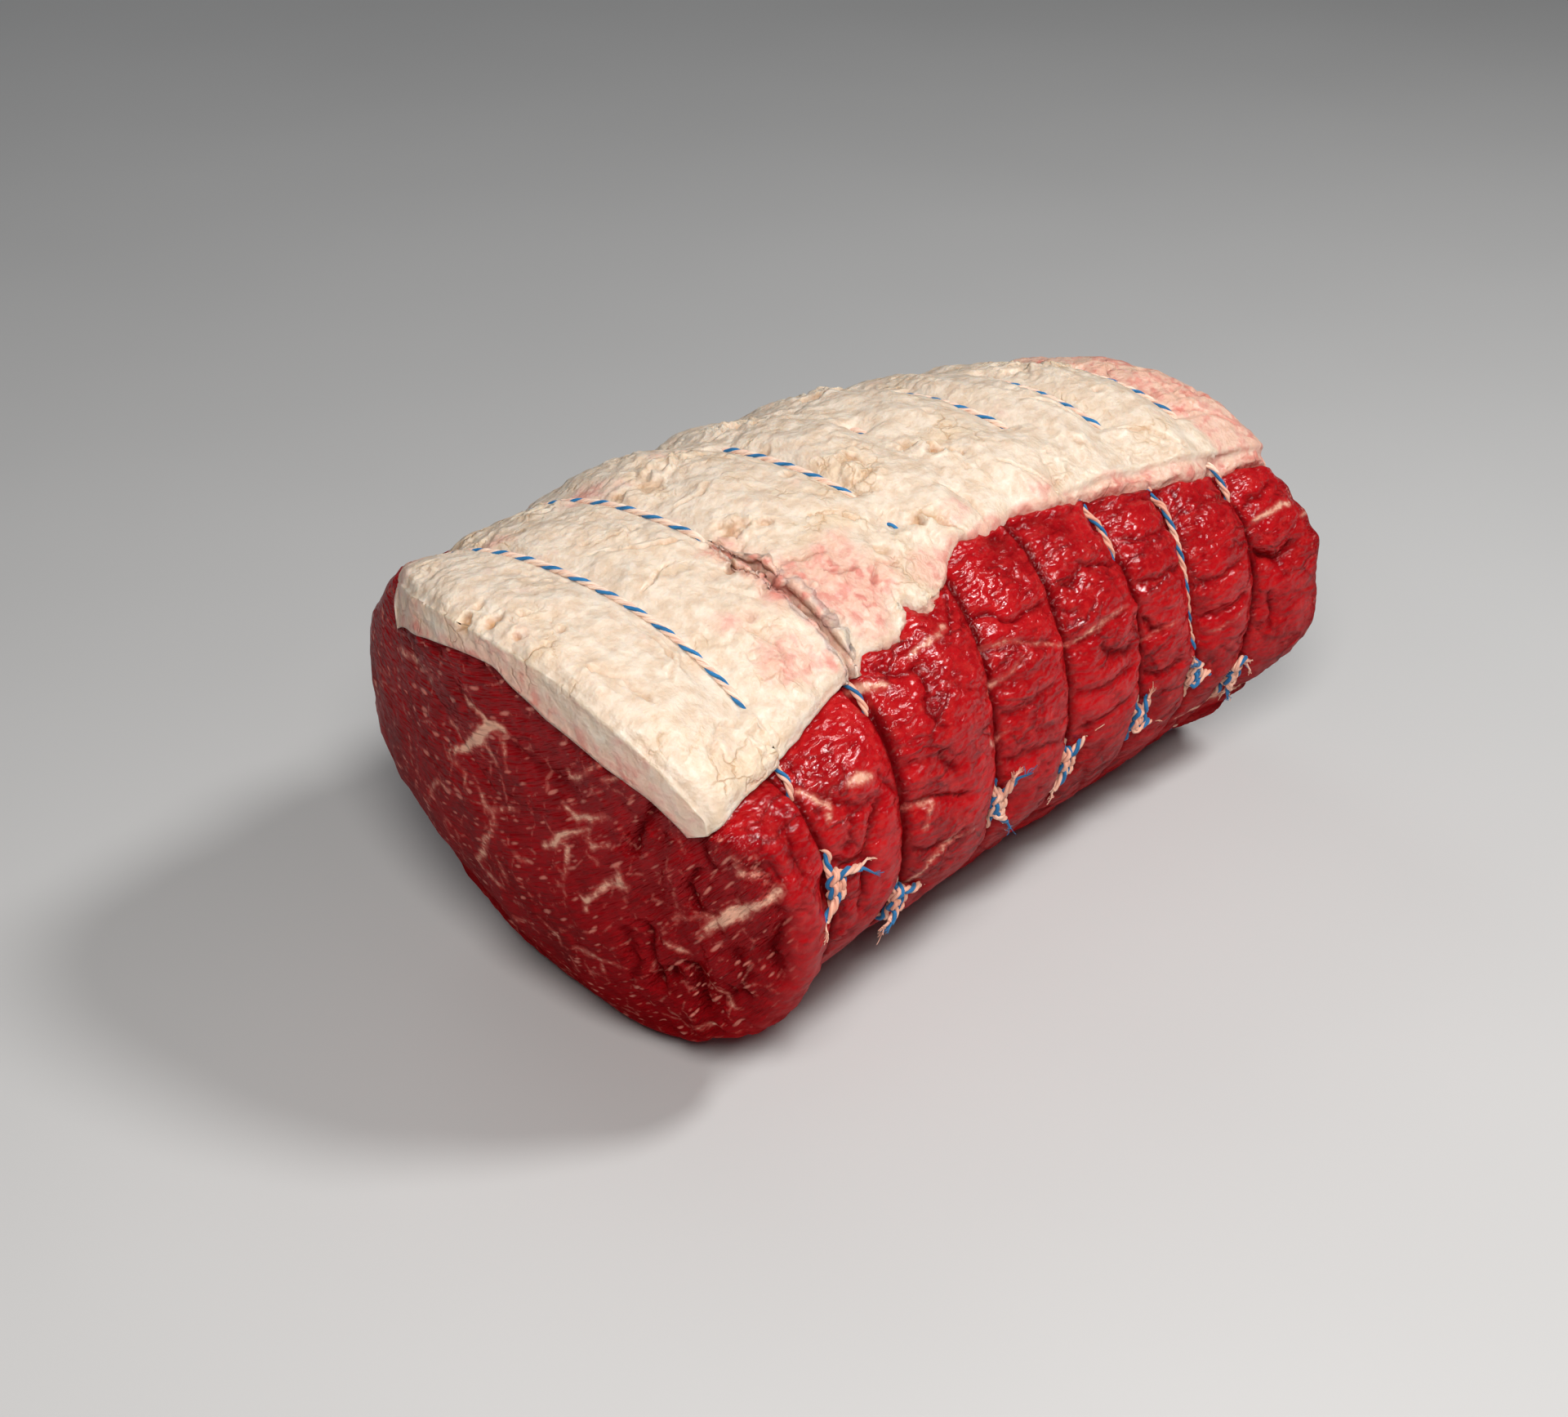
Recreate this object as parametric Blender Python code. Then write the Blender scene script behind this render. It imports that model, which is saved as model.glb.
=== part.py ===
"""A tied beef topside: a boned roasting joint with a cap of fat, held by seven rings of twine.

The joint lies along X. Lengths below are millimetres in the joint's own measure: x runs from
the near cut face to the far one, y across, z up from the surface the joint rests on. Angles
go round the section in degrees: 0 is +Y, 90 the top, 180 is -Y, the side with the knots, and
270 the underside. The last step shifts everything to the part's origin, which lies under the
middle of the joint, and turns it into metres.

The strings pull the meat into eight lobes. A place along the joint is a lobe and q, which
runs from 0 to 1 between the grooves of its two strings; the end lobes stop at a cut face.
"""
import math

import bmesh
import bpy
import numpy as np

LENGTH = 236.7                  # between the two cut faces, at mid height
ORIGIN = (121.5, -15.0)         # x and y of the part's origin in the joint's own measure

# The section that the strings pull the meat to. Each is a value, a slope and a curve over t,
# which runs from 0 at the near face to 1 at the far one.
KNOT_SIDE_WIDTH = (78.0, -17.4, -10.2)      # ridge to the -Y side
FAR_SIDE_WIDTH = (58.0, 14.5, 0.0)          # ridge to the +Y side
RIDGE_Y = (0.0, -3.4, -30.8)                # the ridge wanders towards -Y
HEIGHT = (109.7, 30.6, -36.0)
UNDERSIDE_SAG = 1.5             # how far below the surface the underside would hang
TOP_SQUARENESS = 2.2            # 2 is an ellipse, more is squarer
FAR_TOP_SQUARENESS = 2.4
UNDERSIDE_SQUARENESS = 1.9
FAR_CORNER_SLACK = 0.75         # the far top corner falls away towards the far end

# The strings: where each crosses, and how it wanders round the joint, as angle and shift.
STRING_X = (30.0, 60.2, 99.7, 126.9, 156.4, 181.3, 206.4)
STRING_LEAN = 0.047             # x gained for each mm of height
STRING_WANDER = (
    ((40, 1.5), (70, 0.0), (162, 0.0), (177, 4.0), (205, 6.5), (290, 6.0), (340, 4.0)),
    ((60, 0.0), (150, 0.0), (178, 0.6), (194, 3.2), (240, 3.5), (300, 1.0), (345, -1.0)),
    ((60, 0.0), (140, 1.0), (165, -2.6), (178, -2.8), (188, -0.6), (250, 1.5), (330, 1.0)),
    ((60, 0.0), (138, 1.5), (160, -0.4), (180, -0.8), (190, 1.4), (260, -1.0), (330, 0.5)),
    ((60, 1.5), (110, 2.0), (150, 0.0), (178, 0.4), (191, 3.0), (250, 2.0), (330, -1.0)),
    ((60, 2.0), (110, 1.5), (142, 0.2), (165, -0.6), (186, 1.2), (260, -1.5), (330, 0.5)),
    ((60, -0.5), (118, 2.4), (142, 0.2), (165, 0.8), (196, -2.4), (260, 0.5), (330, 1.0)),
)
TWINE_RADIUS = 1.0
GAP = 0.3                       # between pieces that touch
CLEARANCE = 0.15                # more than that where a piece bends
GROOVE_HALF = 1.5               # half the width of the groove that a string lies in

# The knots: where each sits round the joint, and the size of its lump and cut ends.
KNOT_ANGLE = (176.5, 193.5, 187.0, 189.0, 190.5, 186.5, 195.5)
KNOT_HALF = (2.0, 2.9, 2.3)     # outwards, round the joint and along it
KNOT_STANDS_OFF = 2.3
END_RADIUS = 0.8
END_REACH = (6.0, 7.0, 8.0)     # how far the cut ends spread, in turn from knot to knot
END_START, END_STANDS_OFF = 0.3, 5.2
END_DROP, END_DROOP = 1.5, 3.0
HIGH_END_DROPS = 0.4            # the end towards the near face hangs less, by this factor

# The lobes swell out between the strings, by this much on the knot side and below the knots.
LOBE_SWELL = (6.0, 4.6, 6.4, 6.0, 6.2, 5.2, 5.4, 7.0)
LOW_SWELL = (7.0, 0.5, 1.5, 3.2, 3.4, 3.2, 1.5, 2.0)
LOW_FROM, LOW_FULLY = 188.0, 212.0
SWELL_ROUND = ((0, 0.45), (60, 0.5), (140, 0.5), (165, 1.0), (226, 1.0), (262, 0.35), (330, 0.35))
LOBE_POWER, LOBE_FULLNESS = 2.6, 0.6

# The cap of fat: two sheets laid edge to edge at the second string. Pairs of x and angle, or
# of x and thickness.
FAT_LEFT = ((0, 47.0), (36, 47.0), (60, 36.0), (110, 31.0), (240, 33.0))
FAT_RIGHT = ((0, 154.5), (30, 153.2), (60, 148.2), (90, 146.0), (106, 138.0), (130, 135.0),
             (160, 137.0), (200, 139.8), (240, 141.0))
FAT_THICK = ((0, 11.0), (60, 9.5), (240, 8.0))
FAT_THICK_RIGHT = ((0, 6.5), (60, 5.0), (85, 3.4), (240, 3.2))
FAT_THICK_LEFT = 4.0
THINS_LEFT, THINS_RIGHT = 0.3, 0.6      # the part of its width where it begins to thin
FAT_SWELL = (3.3, 1.2, 3.3, 3.3, 3.6, 3.3, 3.6, 3.3)
FAT_PROUD = 0.9                 # how far its cut edge stands in front of the meat
LIP_NEAR, LIP_FAR = 0.1, 0.75   # how much of that thickness the bare meat reaches up beside it
LIP_BLEND = 7.0                 # width of the meat's dip along the edge of the fat

# The crack between the two sheets: closed on top, open towards the knot side.
CRACK_STRING = 1
CRACK_START, CRACK_FULL = 106.0, 120.0
CRACK_LIFTS = 10.0              # angle past which its edges stand up and the string sinks in
CRACK_HALF = {-1: 1.5, 1: 2.6}  # on the near sheet and on the far one
CRACK_RAISED = 2.1
CRACK_SLOPE = 0.3               # how much steeper than the string's groove its sides are
STRING_SINKS = 3.0
STRING_RISES = (-8.0, 6.0)      # where it comes up again, from the edge of the fat

# The near cut face: how far back its rim lies at each angle, and how its edge is rounded.
NEAR_RIM_X = ((0, 20.0), (30, 19.0), (50, 18.0), (68, 9.0), (84, 5.0), (105, 3.5), (130, 3.0),
              (150, 5.0), (162, 9.5), (175, 14.0), (200, 17.5), (240, 20.0), (270, 21.0),
              (315, 24.0))
NEAR_FACE_X = 4.0
ROUND_ALONG = ((0, 15.0), (40, 9.0), (60, 3.0), (150, 3.0), (172, 9.0), (200, 12.0),
               (240, 17.0), (270, 22.0), (315, 18.0))
ROUND_IN = ((0, 13.0), (40, 5.5), (60, 2.0), (150, 2.0), (172, 7.0), (200, 8.0),
            (235, 11.0), (255, 15.0), (275, 19.0), (315, 19.0), (340, 16.0))
FACE_FLATNESS = 2.4
FAR_RIM_X, FAR_FACE_X = 233.5, 241.0
FAR_ROUND_ALONG = 16.0
FAR_ROUND_IN = ((0, 9.0), (50, 11.0), (90, 10.0), (120, 6.5), (150, 4.0), (170, 2.5), (190, 2.5),
                (220, 8.0), (290, 9.0))
FAT_BENDS = 0.7                 # how far the underside of the fat follows that rounding

# How finely the solids are divided.
FAT_COLUMNS, BARE_COLUMNS = 14, 24
END_STEPS = (0.0, 0.05, 0.13, 0.3, 0.55, 0.8, 1.0)
LOBE_STEPS = (0.0, 0.1, 0.35, 0.65, 0.9, 1.0)
FACE_STEPS = (0.3, 0.58, 0.82)
TWINE_SIDES = 5
LUMP_SIDES, LUMP_TILTS = 8, (-40, 0, 40)
END_SIDES, END_POINTS = 5, 4


def polynomial(terms, t):
    return terms[0] + terms[1] * t + terms[2] * t * t


def through(points, where, period=None):
    """A smooth curve through a few (position, value) points, which never overshoots them."""
    at, value = np.array(points, float).T
    if period:
        at = np.concatenate([at[-2:] - period, at, at[:2] + period])
        value = np.concatenate([value[-2:], value, value[:2]])
        where = np.mod(where, period)
    rise = np.diff(value) / np.diff(at)
    before, after = rise[:-1], rise[1:]
    turns = before * after <= 0
    both = np.where(turns, 1.0, before + after)
    slope = np.concatenate([[0], np.where(turns, 0, 2 * before * after / both), [0]])
    k = np.clip(np.searchsorted(at, where) - 1, 0, len(at) - 2)
    step = at[k + 1] - at[k]
    s = np.clip((where - at[k]) / step, 0, 1)
    start = (1 + 2 * s) * (1 - s) ** 2 * value[k] + s * (1 - s) ** 2 * step * slope[k]
    return start + s * s * (3 - 2 * s) * value[k + 1] + s * s * (s - 1) * step * slope[k + 1]


def ease(start, end, v):
    s = np.clip((v - start) / (end - start), 0, 1)
    return s * s * (3 - 2 * s)


def string_radius(x, angle):
    """Distance from the middle of the section to the centre line that a string has at x."""
    t = x / LENGTH
    c, s = np.cos(np.radians(angle)), np.sin(np.radians(angle))
    width = np.where(c < 0, polynomial(KNOT_SIDE_WIDTH, t), polynomial(FAR_SIDE_WIDTH, t))
    half = polynomial(HEIGHT, t) / 2 + np.where(s < 0, UNDERSIDE_SAG, 0)
    far_corner = FAR_TOP_SQUARENESS - FAR_CORNER_SLACK * np.clip(t, 0, 1) ** 1.5
    n = np.where(s < 0, UNDERSIDE_SQUARENESS, np.where(c < 0, TOP_SQUARENESS, far_corner))
    return ((np.abs(c) / width) ** n + (np.abs(s) / half) ** n) ** (-1 / n)


def place(x, angle, radius, lowest=0.0):
    """Points at a distance from the section's middle, none of them lower than lowest."""
    t = x / LENGTH
    y = polynomial(RIDGE_Y, t) + radius * np.cos(np.radians(angle))
    z = polynomial(HEIGHT, t) / 2 + radius * np.sin(np.radians(angle))
    return np.stack(np.broadcast_arrays(x, y, np.maximum(z, lowest)), -1)


def string_x(i, angle):
    lean = STRING_LEAN * string_radius(STRING_X[i], angle) * np.sin(np.radians(angle))
    return STRING_X[i] + lean + through(STRING_WANDER[i], angle, 360)


def lobe_ends(lobe, angle):
    start = through(NEAR_RIM_X, angle, 360)
    if lobe > 0:
        start = string_x(lobe - 1, angle) + GROOVE_HALF
    end = FAR_RIM_X + 0 * angle
    if lobe < len(STRING_X):
        end = string_x(lobe, angle) - GROOVE_HALF
    return start, end


def swell_at(lobe, q):
    """How far a lobe swells, from 0 in its grooves to 1 in the middle."""
    s = 2 * q - 1
    if lobe == 0:
        s = q
    if lobe == len(STRING_X):
        s = 1 - q
    return (1 - abs(s) ** LOBE_POWER) ** LOBE_FULLNESS


def rounding(x, angle):
    """How much the rounded edge of the nearer cut face takes off the radius."""
    from_rim = x - through(NEAR_RIM_X, angle, 360)
    along, depth = through(ROUND_ALONG, angle, 360), through(ROUND_IN, angle, 360)
    far = x > LENGTH / 2
    from_rim = np.where(far, FAR_RIM_X - x, from_rim)
    along = np.where(far, FAR_ROUND_ALONG, along)
    depth = np.where(far, through(FAR_ROUND_IN, angle, 360), depth)
    s = np.clip(1 - from_rim / along, 0, 1)
    return depth * (1 - np.sqrt(1 - s * s))


def fat_edges(lobe, q):
    """The angles of the left and right edge of the fat at a place along the joint."""
    start, end = lobe_ends(lobe, np.array([120.0]))
    x = start[0] + (end[0] - start[0]) * q
    return through(FAT_LEFT, x), through(FAT_RIGHT, x)


def fat_thickness(x, angle, left, right):
    s = (angle - left) / (right - left)
    middle = through(FAT_THICK, x)
    thick = middle - (middle - through(FAT_THICK_RIGHT, x)) * ease(THINS_RIGHT, 1.0, s)
    return thick - (middle - FAT_THICK_LEFT) * (1 - ease(0.0, THINS_LEFT, s))


def underside_of_fat(lobe, x, angle, left, right):
    radius = string_radius(x, angle) - fat_thickness(x, np.clip(angle, left, right), left, right)
    if lobe == len(STRING_X):
        radius = radius - FAT_BENDS * rounding(x, angle)
    return radius


def edge_room():
    """The gap beside the fat's edges, as an angle."""
    return math.degrees((GAP + CLEARANCE) / string_radius(0.0, 150.0))


def angles_round(lobe, q):
    """Angles of the columns under the fat, and of those over the bare meat."""
    left, right = fat_edges(lobe, q)
    left, right = left - edge_room(), right + edge_room()
    return (np.linspace(left, right, FAT_COLUMNS + 1),
            np.linspace(right, left + 360, BARE_COLUMNS + 1))


def bare_radius(lobe, q, x, angle):
    """Radius of the bare meat: swollen lobes that dip along the edge of the fat."""
    left, right = fat_edges(lobe, q)
    floor = string_radius(x, angle) - TWINE_RADIUS - GAP
    low = ease(LOW_FROM, LOW_FULLY, angle)
    swell = LOBE_SWELL[lobe] + (LOW_SWELL[lobe] - LOBE_SWELL[lobe]) * low
    swell = TWINE_RADIUS + GAP + swell * through(SWELL_ROUND, angle, 360)
    full = floor + swell * swell_at(lobe, q) - rounding(x, angle)
    under = underside_of_fat(lobe, x, right + 0 * angle, left, right)
    lip = LIP_NEAR if lobe <= CRACK_STRING else LIP_FAR
    dip = np.clip(full - under, 0, None) * (1 - lip)
    aside = np.radians(np.minimum(np.abs(angle - right), np.abs(angle - left - 360))) * floor
    return full - dip * np.exp(-aside / LIP_BLEND)


def meat_ring(lobe, q):
    """One ring of points round the meat, with the shelf that the fat lies on."""
    under, bare = angles_round(lobe, q)
    left, right = fat_edges(lobe, q)
    start, end = lobe_ends(lobe, under)
    x = start + (end - start) * q
    shelf = place(x, under, underside_of_fat(lobe, x, under, left, right) - GAP)
    start, end = lobe_ends(lobe, bare)
    x = start + (end - start) * q
    in_groove = (q == 1 and lobe < len(STRING_X)) or (q == 0 and lobe > 0)
    lowest = 2 * (TWINE_RADIUS + GAP) + CLEARANCE if in_groove else 0.0
    return np.concatenate([shelf, place(x, bare, bare_radius(lobe, q, x, bare), lowest)])


def face_rings(rim, middle_x):
    """Rings that close a cut face, from its middle out towards the rim, and the middle."""
    middle = np.array([middle_x, rim[:, 1].mean(), rim[:, 2].mean()])
    rings = []
    for step in FACE_STEPS:
        ring = middle + (rim - middle) * step
        ring[:, 0] = middle_x + (rim[:, 0] - middle_x) * step ** FACE_FLATNESS
        rings.append(ring)
    return rings, middle


def band(first, second, count):
    """Triangles between two closed rings of points."""
    faces = []
    for k in range(count):
        n = (k + 1) % count
        faces += [(first + k, first + n, second + n), (first + k, second + n, second + k)]
    return faces


def fan(middle, ring, count):
    return [(middle, ring + k, ring + (k + 1) % count) for k in range(count)]


def solid(name, points, faces, material):
    """One closed object, in metres from the part's origin, with its faces pointing out."""
    mesh = bpy.data.meshes.new(name)
    points = (np.asarray(points, float) - (ORIGIN[0], ORIGIN[1], 0.0)) * 0.001
    mesh.from_pydata(points.tolist(), [], faces)
    shape = bmesh.new()
    shape.from_mesh(mesh)
    bmesh.ops.recalc_face_normals(shape, faces=shape.faces)
    shape.to_mesh(mesh)
    shape.free()
    mesh.shade_smooth()
    mesh.set_sharp_from_angle(angle=math.radians(50))
    mesh.materials.append(material)
    thing = bpy.data.objects.new(name, mesh)
    bpy.context.scene.collection.objects.link(thing)
    return thing


def finish(name, colour, roughness):
    material = bpy.data.materials.new(name)
    material.use_nodes = True
    shader = material.node_tree.nodes["Principled BSDF"]
    shader.inputs["Base Color"].default_value = (*colour, 1.0)
    shader.inputs["Roughness"].default_value = roughness
    shader.inputs["Metallic"].default_value = 0.0
    return material


def places_along(first_lobe, last_lobe):
    places = []
    for lobe in range(first_lobe, last_lobe + 1):
        steps = LOBE_STEPS
        if lobe == 0:
            steps = END_STEPS
        if lobe == len(STRING_X):
            steps = [1 - q for q in reversed(END_STEPS)]
        places += [(lobe, q) for q in steps]
    return places


def make_meat():
    side = [meat_ring(lobe, q) for lobe, q in places_along(0, len(STRING_X))]
    near, near_middle = face_rings(side[0], NEAR_FACE_X)
    far, far_middle = face_rings(side[-1], FAR_FACE_X)
    rings = near + side + far[::-1]
    count = len(side[0])
    faces = []
    for j in range(len(rings) - 1):
        faces += band(j * count, (j + 1) * count, count)
    last = len(rings) * count
    faces += fan(last, 0, count)
    faces += fan(last + 1, last - count, count)
    points = np.concatenate(rings + [[near_middle], [far_middle]])
    solid("meat", points, faces, finish("raw_meat", (0.32, 0.012, 0.014), 0.35))


def fat_row(lobe, q, at_crack=None):
    """Outer and inner points across a sheet of fat. At the crack, at_crack is how far into
    the gap the row lies: 0 at the edge of the string's groove and 1 at the sheet's own edge."""
    left, right = fat_edges(lobe, q)
    angle = np.linspace(left, right, FAT_COLUMNS + 1)
    start, end = lobe_ends(lobe, angle)
    x = start + (end - start) * q
    swell = swell_at(lobe, q)
    radius = string_radius(x, angle) - (TWINE_RADIUS + GAP) * (1 - swell) + FAT_SWELL[lobe] * swell
    radius = radius - rounding(x, angle)
    if at_crack is not None:
        side = 1 if lobe > CRACK_STRING else -1
        opening = ease(CRACK_START, CRACK_FULL, angle)
        edge = GAP / 2 + (CRACK_HALF[side] - GAP / 2) * opening
        groove = (GROOVE_HALF - GAP / 2) * (1 - CRACK_SLOPE * opening)
        away = edge + (1 - at_crack) * groove
        x = string_x(CRACK_STRING, angle) + side * away
        radius = radius + CRACK_RAISED * ease(CRACK_FULL, CRACK_FULL + CRACK_LIFTS, angle)
    if lobe == 0 and q == 0:
        x = x - FAT_PROUD
    return place(x, angle, radius), place(x, angle, underside_of_fat(lobe, x, angle, left, right))


def make_sheet(name, first_lobe, last_lobe, material):
    rows = []
    for lobe, q in places_along(first_lobe, last_lobe):
        if (lobe, q) == (CRACK_STRING, 1.0):
            rows += [fat_row(lobe, q, 0), fat_row(lobe, q, 1)]
        elif (lobe, q) == (CRACK_STRING + 1, 0.0):
            rows += [fat_row(lobe, q, 1), fat_row(lobe, q, 0)]
        else:
            rows.append(fat_row(lobe, q))
    outer, inner = (np.concatenate([row[k] for row in rows]) for k in (0, 1))
    wide = FAT_COLUMNS + 1
    below = len(outer)
    faces = []
    for j in range(len(rows) - 1):
        for a in range(j * wide, j * wide + FAT_COLUMNS):
            b, c, d = a + 1, a + 1 + wide, a + wide
            faces += [(a, b, c), (a, c, d)]
            faces += [(below + a, below + c, below + b), (below + a, below + d, below + c)]
    last = (len(rows) - 1) * wide
    rim = list(range(wide)) + list(range(2 * wide - 1, last + wide, wide))
    rim += list(range(last + wide - 2, last - 1, -1)) + list(range(last - wide, 0, -wide))
    for a, b in zip(rim, rim[1:] + rim[:1]):
        faces += [(a, below + a, below + b), (a, below + b, b)]
    solid(name, np.concatenate([outer, inner]), faces, material)


def string_path(i):
    """Centre line of a ring of twine, with the outward direction at each point."""
    over, bare = angles_round(i, 1.0)
    over = np.clip(over, *fat_edges(i, 1.0))
    angle = np.concatenate([over, bare[1:-1]])
    x = string_x(i, angle)
    radius = string_radius(x, angle) - rounding(x, angle)
    if i == CRACK_STRING:
        sunk = ease(CRACK_FULL, CRACK_FULL + CRACK_LIFTS, angle)
        rises = ease(over[-1] + STRING_RISES[0], over[-1] + STRING_RISES[1], angle)
        radius = radius - STRING_SINKS * sunk * (1 - rises)
    centre = place(x, angle, radius, TWINE_RADIUS + GAP + CLEARANCE)
    turn = np.radians(angle)
    return centre, np.stack([0 * turn, np.cos(turn), np.sin(turn)], -1)


def tube(name, centre, outward, sideways, radius, sides, closed, material):
    """A tube along points, each with an outward and a sideways direction."""
    count = len(centre)
    points, faces = [], []
    for k in range(count):
        for m in range(sides):
            turn = 2 * math.pi * m / sides
            reach = math.cos(turn) * outward[k] + math.sin(turn) * sideways[k]
            points.append(centre[k] + radius * reach)
    for k in range(count if closed else count - 1):
        faces += band(k * sides, ((k + 1) % count) * sides, sides)
    if not closed:
        points += [centre[0], centre[-1]]
        faces += fan(count * sides, 0, sides) + fan(count * sides + 1, (count - 1) * sides, sides)
    return solid(name, points, faces, material)


def knot_parts(i, material):
    """The lump of the knot and its two cut ends, standing just proud of the groove."""
    turn = math.radians(KNOT_ANGLE[i])
    out = np.array([0.0, math.cos(turn), math.sin(turn)])
    up = np.array([0.0, math.sin(turn), -math.cos(turn)])
    along = np.array([1.0, 0.0, 0.0])
    x = string_x(i, np.array([KNOT_ANGLE[i]]))
    lump = place(x, KNOT_ANGLE[i], string_radius(x, KNOT_ANGLE[i]))[0] + out * KNOT_STANDS_OFF
    points, faces = [], []
    for tilt in LUMP_TILTS:
        for m in range(LUMP_SIDES):
            a = 2 * math.pi * m / LUMP_SIDES
            ring = math.cos(math.radians(tilt))
            level = math.sin(math.radians(tilt)) * KNOT_HALF[0] * out
            points.append(lump + level + ring * (KNOT_HALF[1] * math.cos(a) * up
                                                 + KNOT_HALF[2] * math.sin(a) * along))
    points += [lump - KNOT_HALF[0] * out, lump + KNOT_HALF[0] * out]
    faces += band(0, LUMP_SIDES, LUMP_SIDES) + band(LUMP_SIDES, 2 * LUMP_SIDES, LUMP_SIDES)
    faces += fan(3 * LUMP_SIDES, 0, LUMP_SIDES)
    faces += fan(3 * LUMP_SIDES + 1, 2 * LUMP_SIDES, LUMP_SIDES)
    parts = [solid("lump", points, faces, material)]
    reach = END_REACH[i % len(END_REACH)]
    for side in (-1, 1):
        line = []
        for s in np.linspace(0, 1, END_POINTS):
            rise = END_START + END_STANDS_OFF * s * (1.4 - 0.4 * s)
            fall = (END_DROP + END_DROOP * s) * (1.0 if side > 0 else HIGH_END_DROPS)
            line.append(lump + along * side * reach * s + out * rise - up * fall)
        head = (line[-1] - line[0]) / np.linalg.norm(line[-1] - line[0])
        sideways = np.cross(head, up)
        sideways /= np.linalg.norm(sideways)
        outward = np.cross(sideways, head)
        parts.append(tube("cut_end", line, [outward] * END_POINTS, [sideways] * END_POINTS,
                          END_RADIUS, END_SIDES, False, material))
    return parts


def make_string(i):
    """A ring of twine and its knot, joined into one solid."""
    name = f"string_{i + 1}"
    material = finish(f"twine_{i + 1}", (0.55, 0.42, 0.33), 0.8)
    centre, outward = string_path(i)
    along = [np.array([1.0, 0.0, 0.0])] * len(centre)
    ring = tube(name, centre, outward, along, TWINE_RADIUS, TWINE_SIDES, True, material)
    knot = bpy.data.collections.new("knot")
    bpy.context.scene.collection.children.link(knot)
    for piece in knot_parts(i, material):
        bpy.context.scene.collection.objects.unlink(piece)
        knot.objects.link(piece)
    union = ring.modifiers.new("knot", "BOOLEAN")
    union.operation = "UNION"
    union.operand_type = "COLLECTION"
    union.collection = knot
    union.solver = "EXACT"
    bpy.context.view_layer.update()
    tied = ring.evaluated_get(bpy.context.evaluated_depsgraph_get())
    joined = bpy.data.meshes.new_from_object(tied)
    ring.modifiers.clear()
    ring.data = joined
    for piece in list(knot.objects):
        bpy.data.objects.remove(piece)
    bpy.data.collections.remove(knot)


for thing in list(bpy.data.objects):
    bpy.data.objects.remove(thing)
make_meat()
make_sheet("fat_front", 0, CRACK_STRING, finish("front_fat", (0.76, 0.66, 0.49), 0.5))
make_sheet("fat_rear", CRACK_STRING + 1, len(STRING_X), finish("rear_fat", (0.76, 0.64, 0.48), 0.5))
for number in range(len(STRING_X)):
    make_string(number)
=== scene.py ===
"""A tied beef topside: raw lean meat with a cap of fat, held by seven rings of butcher's twine.

Lengths are millimetres in the joint's own measure, as in the CAD model: x runs from the near cut
face to the far one, y across, z up. Angles go round the section: 0 is +Y, 90 the top, 180 is -Y,
the side with the knots, and 270 the underside. Each mesh is shifted to the part's origin and
turned into metres when it is made.
"""
import math
import random

import bpy
import numpy as np
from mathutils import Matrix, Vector, noise


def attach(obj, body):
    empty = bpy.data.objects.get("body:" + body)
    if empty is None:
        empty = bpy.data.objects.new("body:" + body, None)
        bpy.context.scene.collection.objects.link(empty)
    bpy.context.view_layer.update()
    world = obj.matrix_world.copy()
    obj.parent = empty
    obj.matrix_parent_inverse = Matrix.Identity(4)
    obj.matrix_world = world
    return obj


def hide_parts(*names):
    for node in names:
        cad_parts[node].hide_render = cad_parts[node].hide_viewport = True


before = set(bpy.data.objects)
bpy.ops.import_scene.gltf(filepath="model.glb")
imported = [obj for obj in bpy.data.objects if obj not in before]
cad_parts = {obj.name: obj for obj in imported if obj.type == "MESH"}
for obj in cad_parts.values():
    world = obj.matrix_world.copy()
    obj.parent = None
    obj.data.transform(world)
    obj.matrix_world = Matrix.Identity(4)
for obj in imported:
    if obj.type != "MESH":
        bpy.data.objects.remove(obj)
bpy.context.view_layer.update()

# The lean meat: one boned topside muscle of raw beef, cut across at both ends with a knife.
# The strings pull it into eight lobes that bulge over them. It is moist, so its lobes have a
# soft gloss that their grain breaks up, and its cut face shows cream marbling in deep crimson.
LENGTH = 236.7                              # between the cut faces, at mid height
ORIGIN = np.array([121.5, -15.0, 0.0])      # the part's origin in the joint's own measure
KNOT_SIDE_WIDTH = (78.0, -17.4, -10.2)      # a value, a slope and a curve from end to end
FAR_SIDE_WIDTH = (58.0, 14.5, 0.0)
RIDGE_Y = (0.0, -3.4, -30.8)
HEIGHT = (109.7, 30.6, -36.0)
UNDERSIDE_SAG = 1.5
# How square the section is, where 2 is an ellipse, and how much slacker it is at the far end.
TOP_SQUARENESS, FAR_TOP_SQUARENESS, UNDERSIDE_SQUARENESS = 2.2, 2.4, 1.9
FAR_CORNER_SLACK = 0.75
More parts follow.
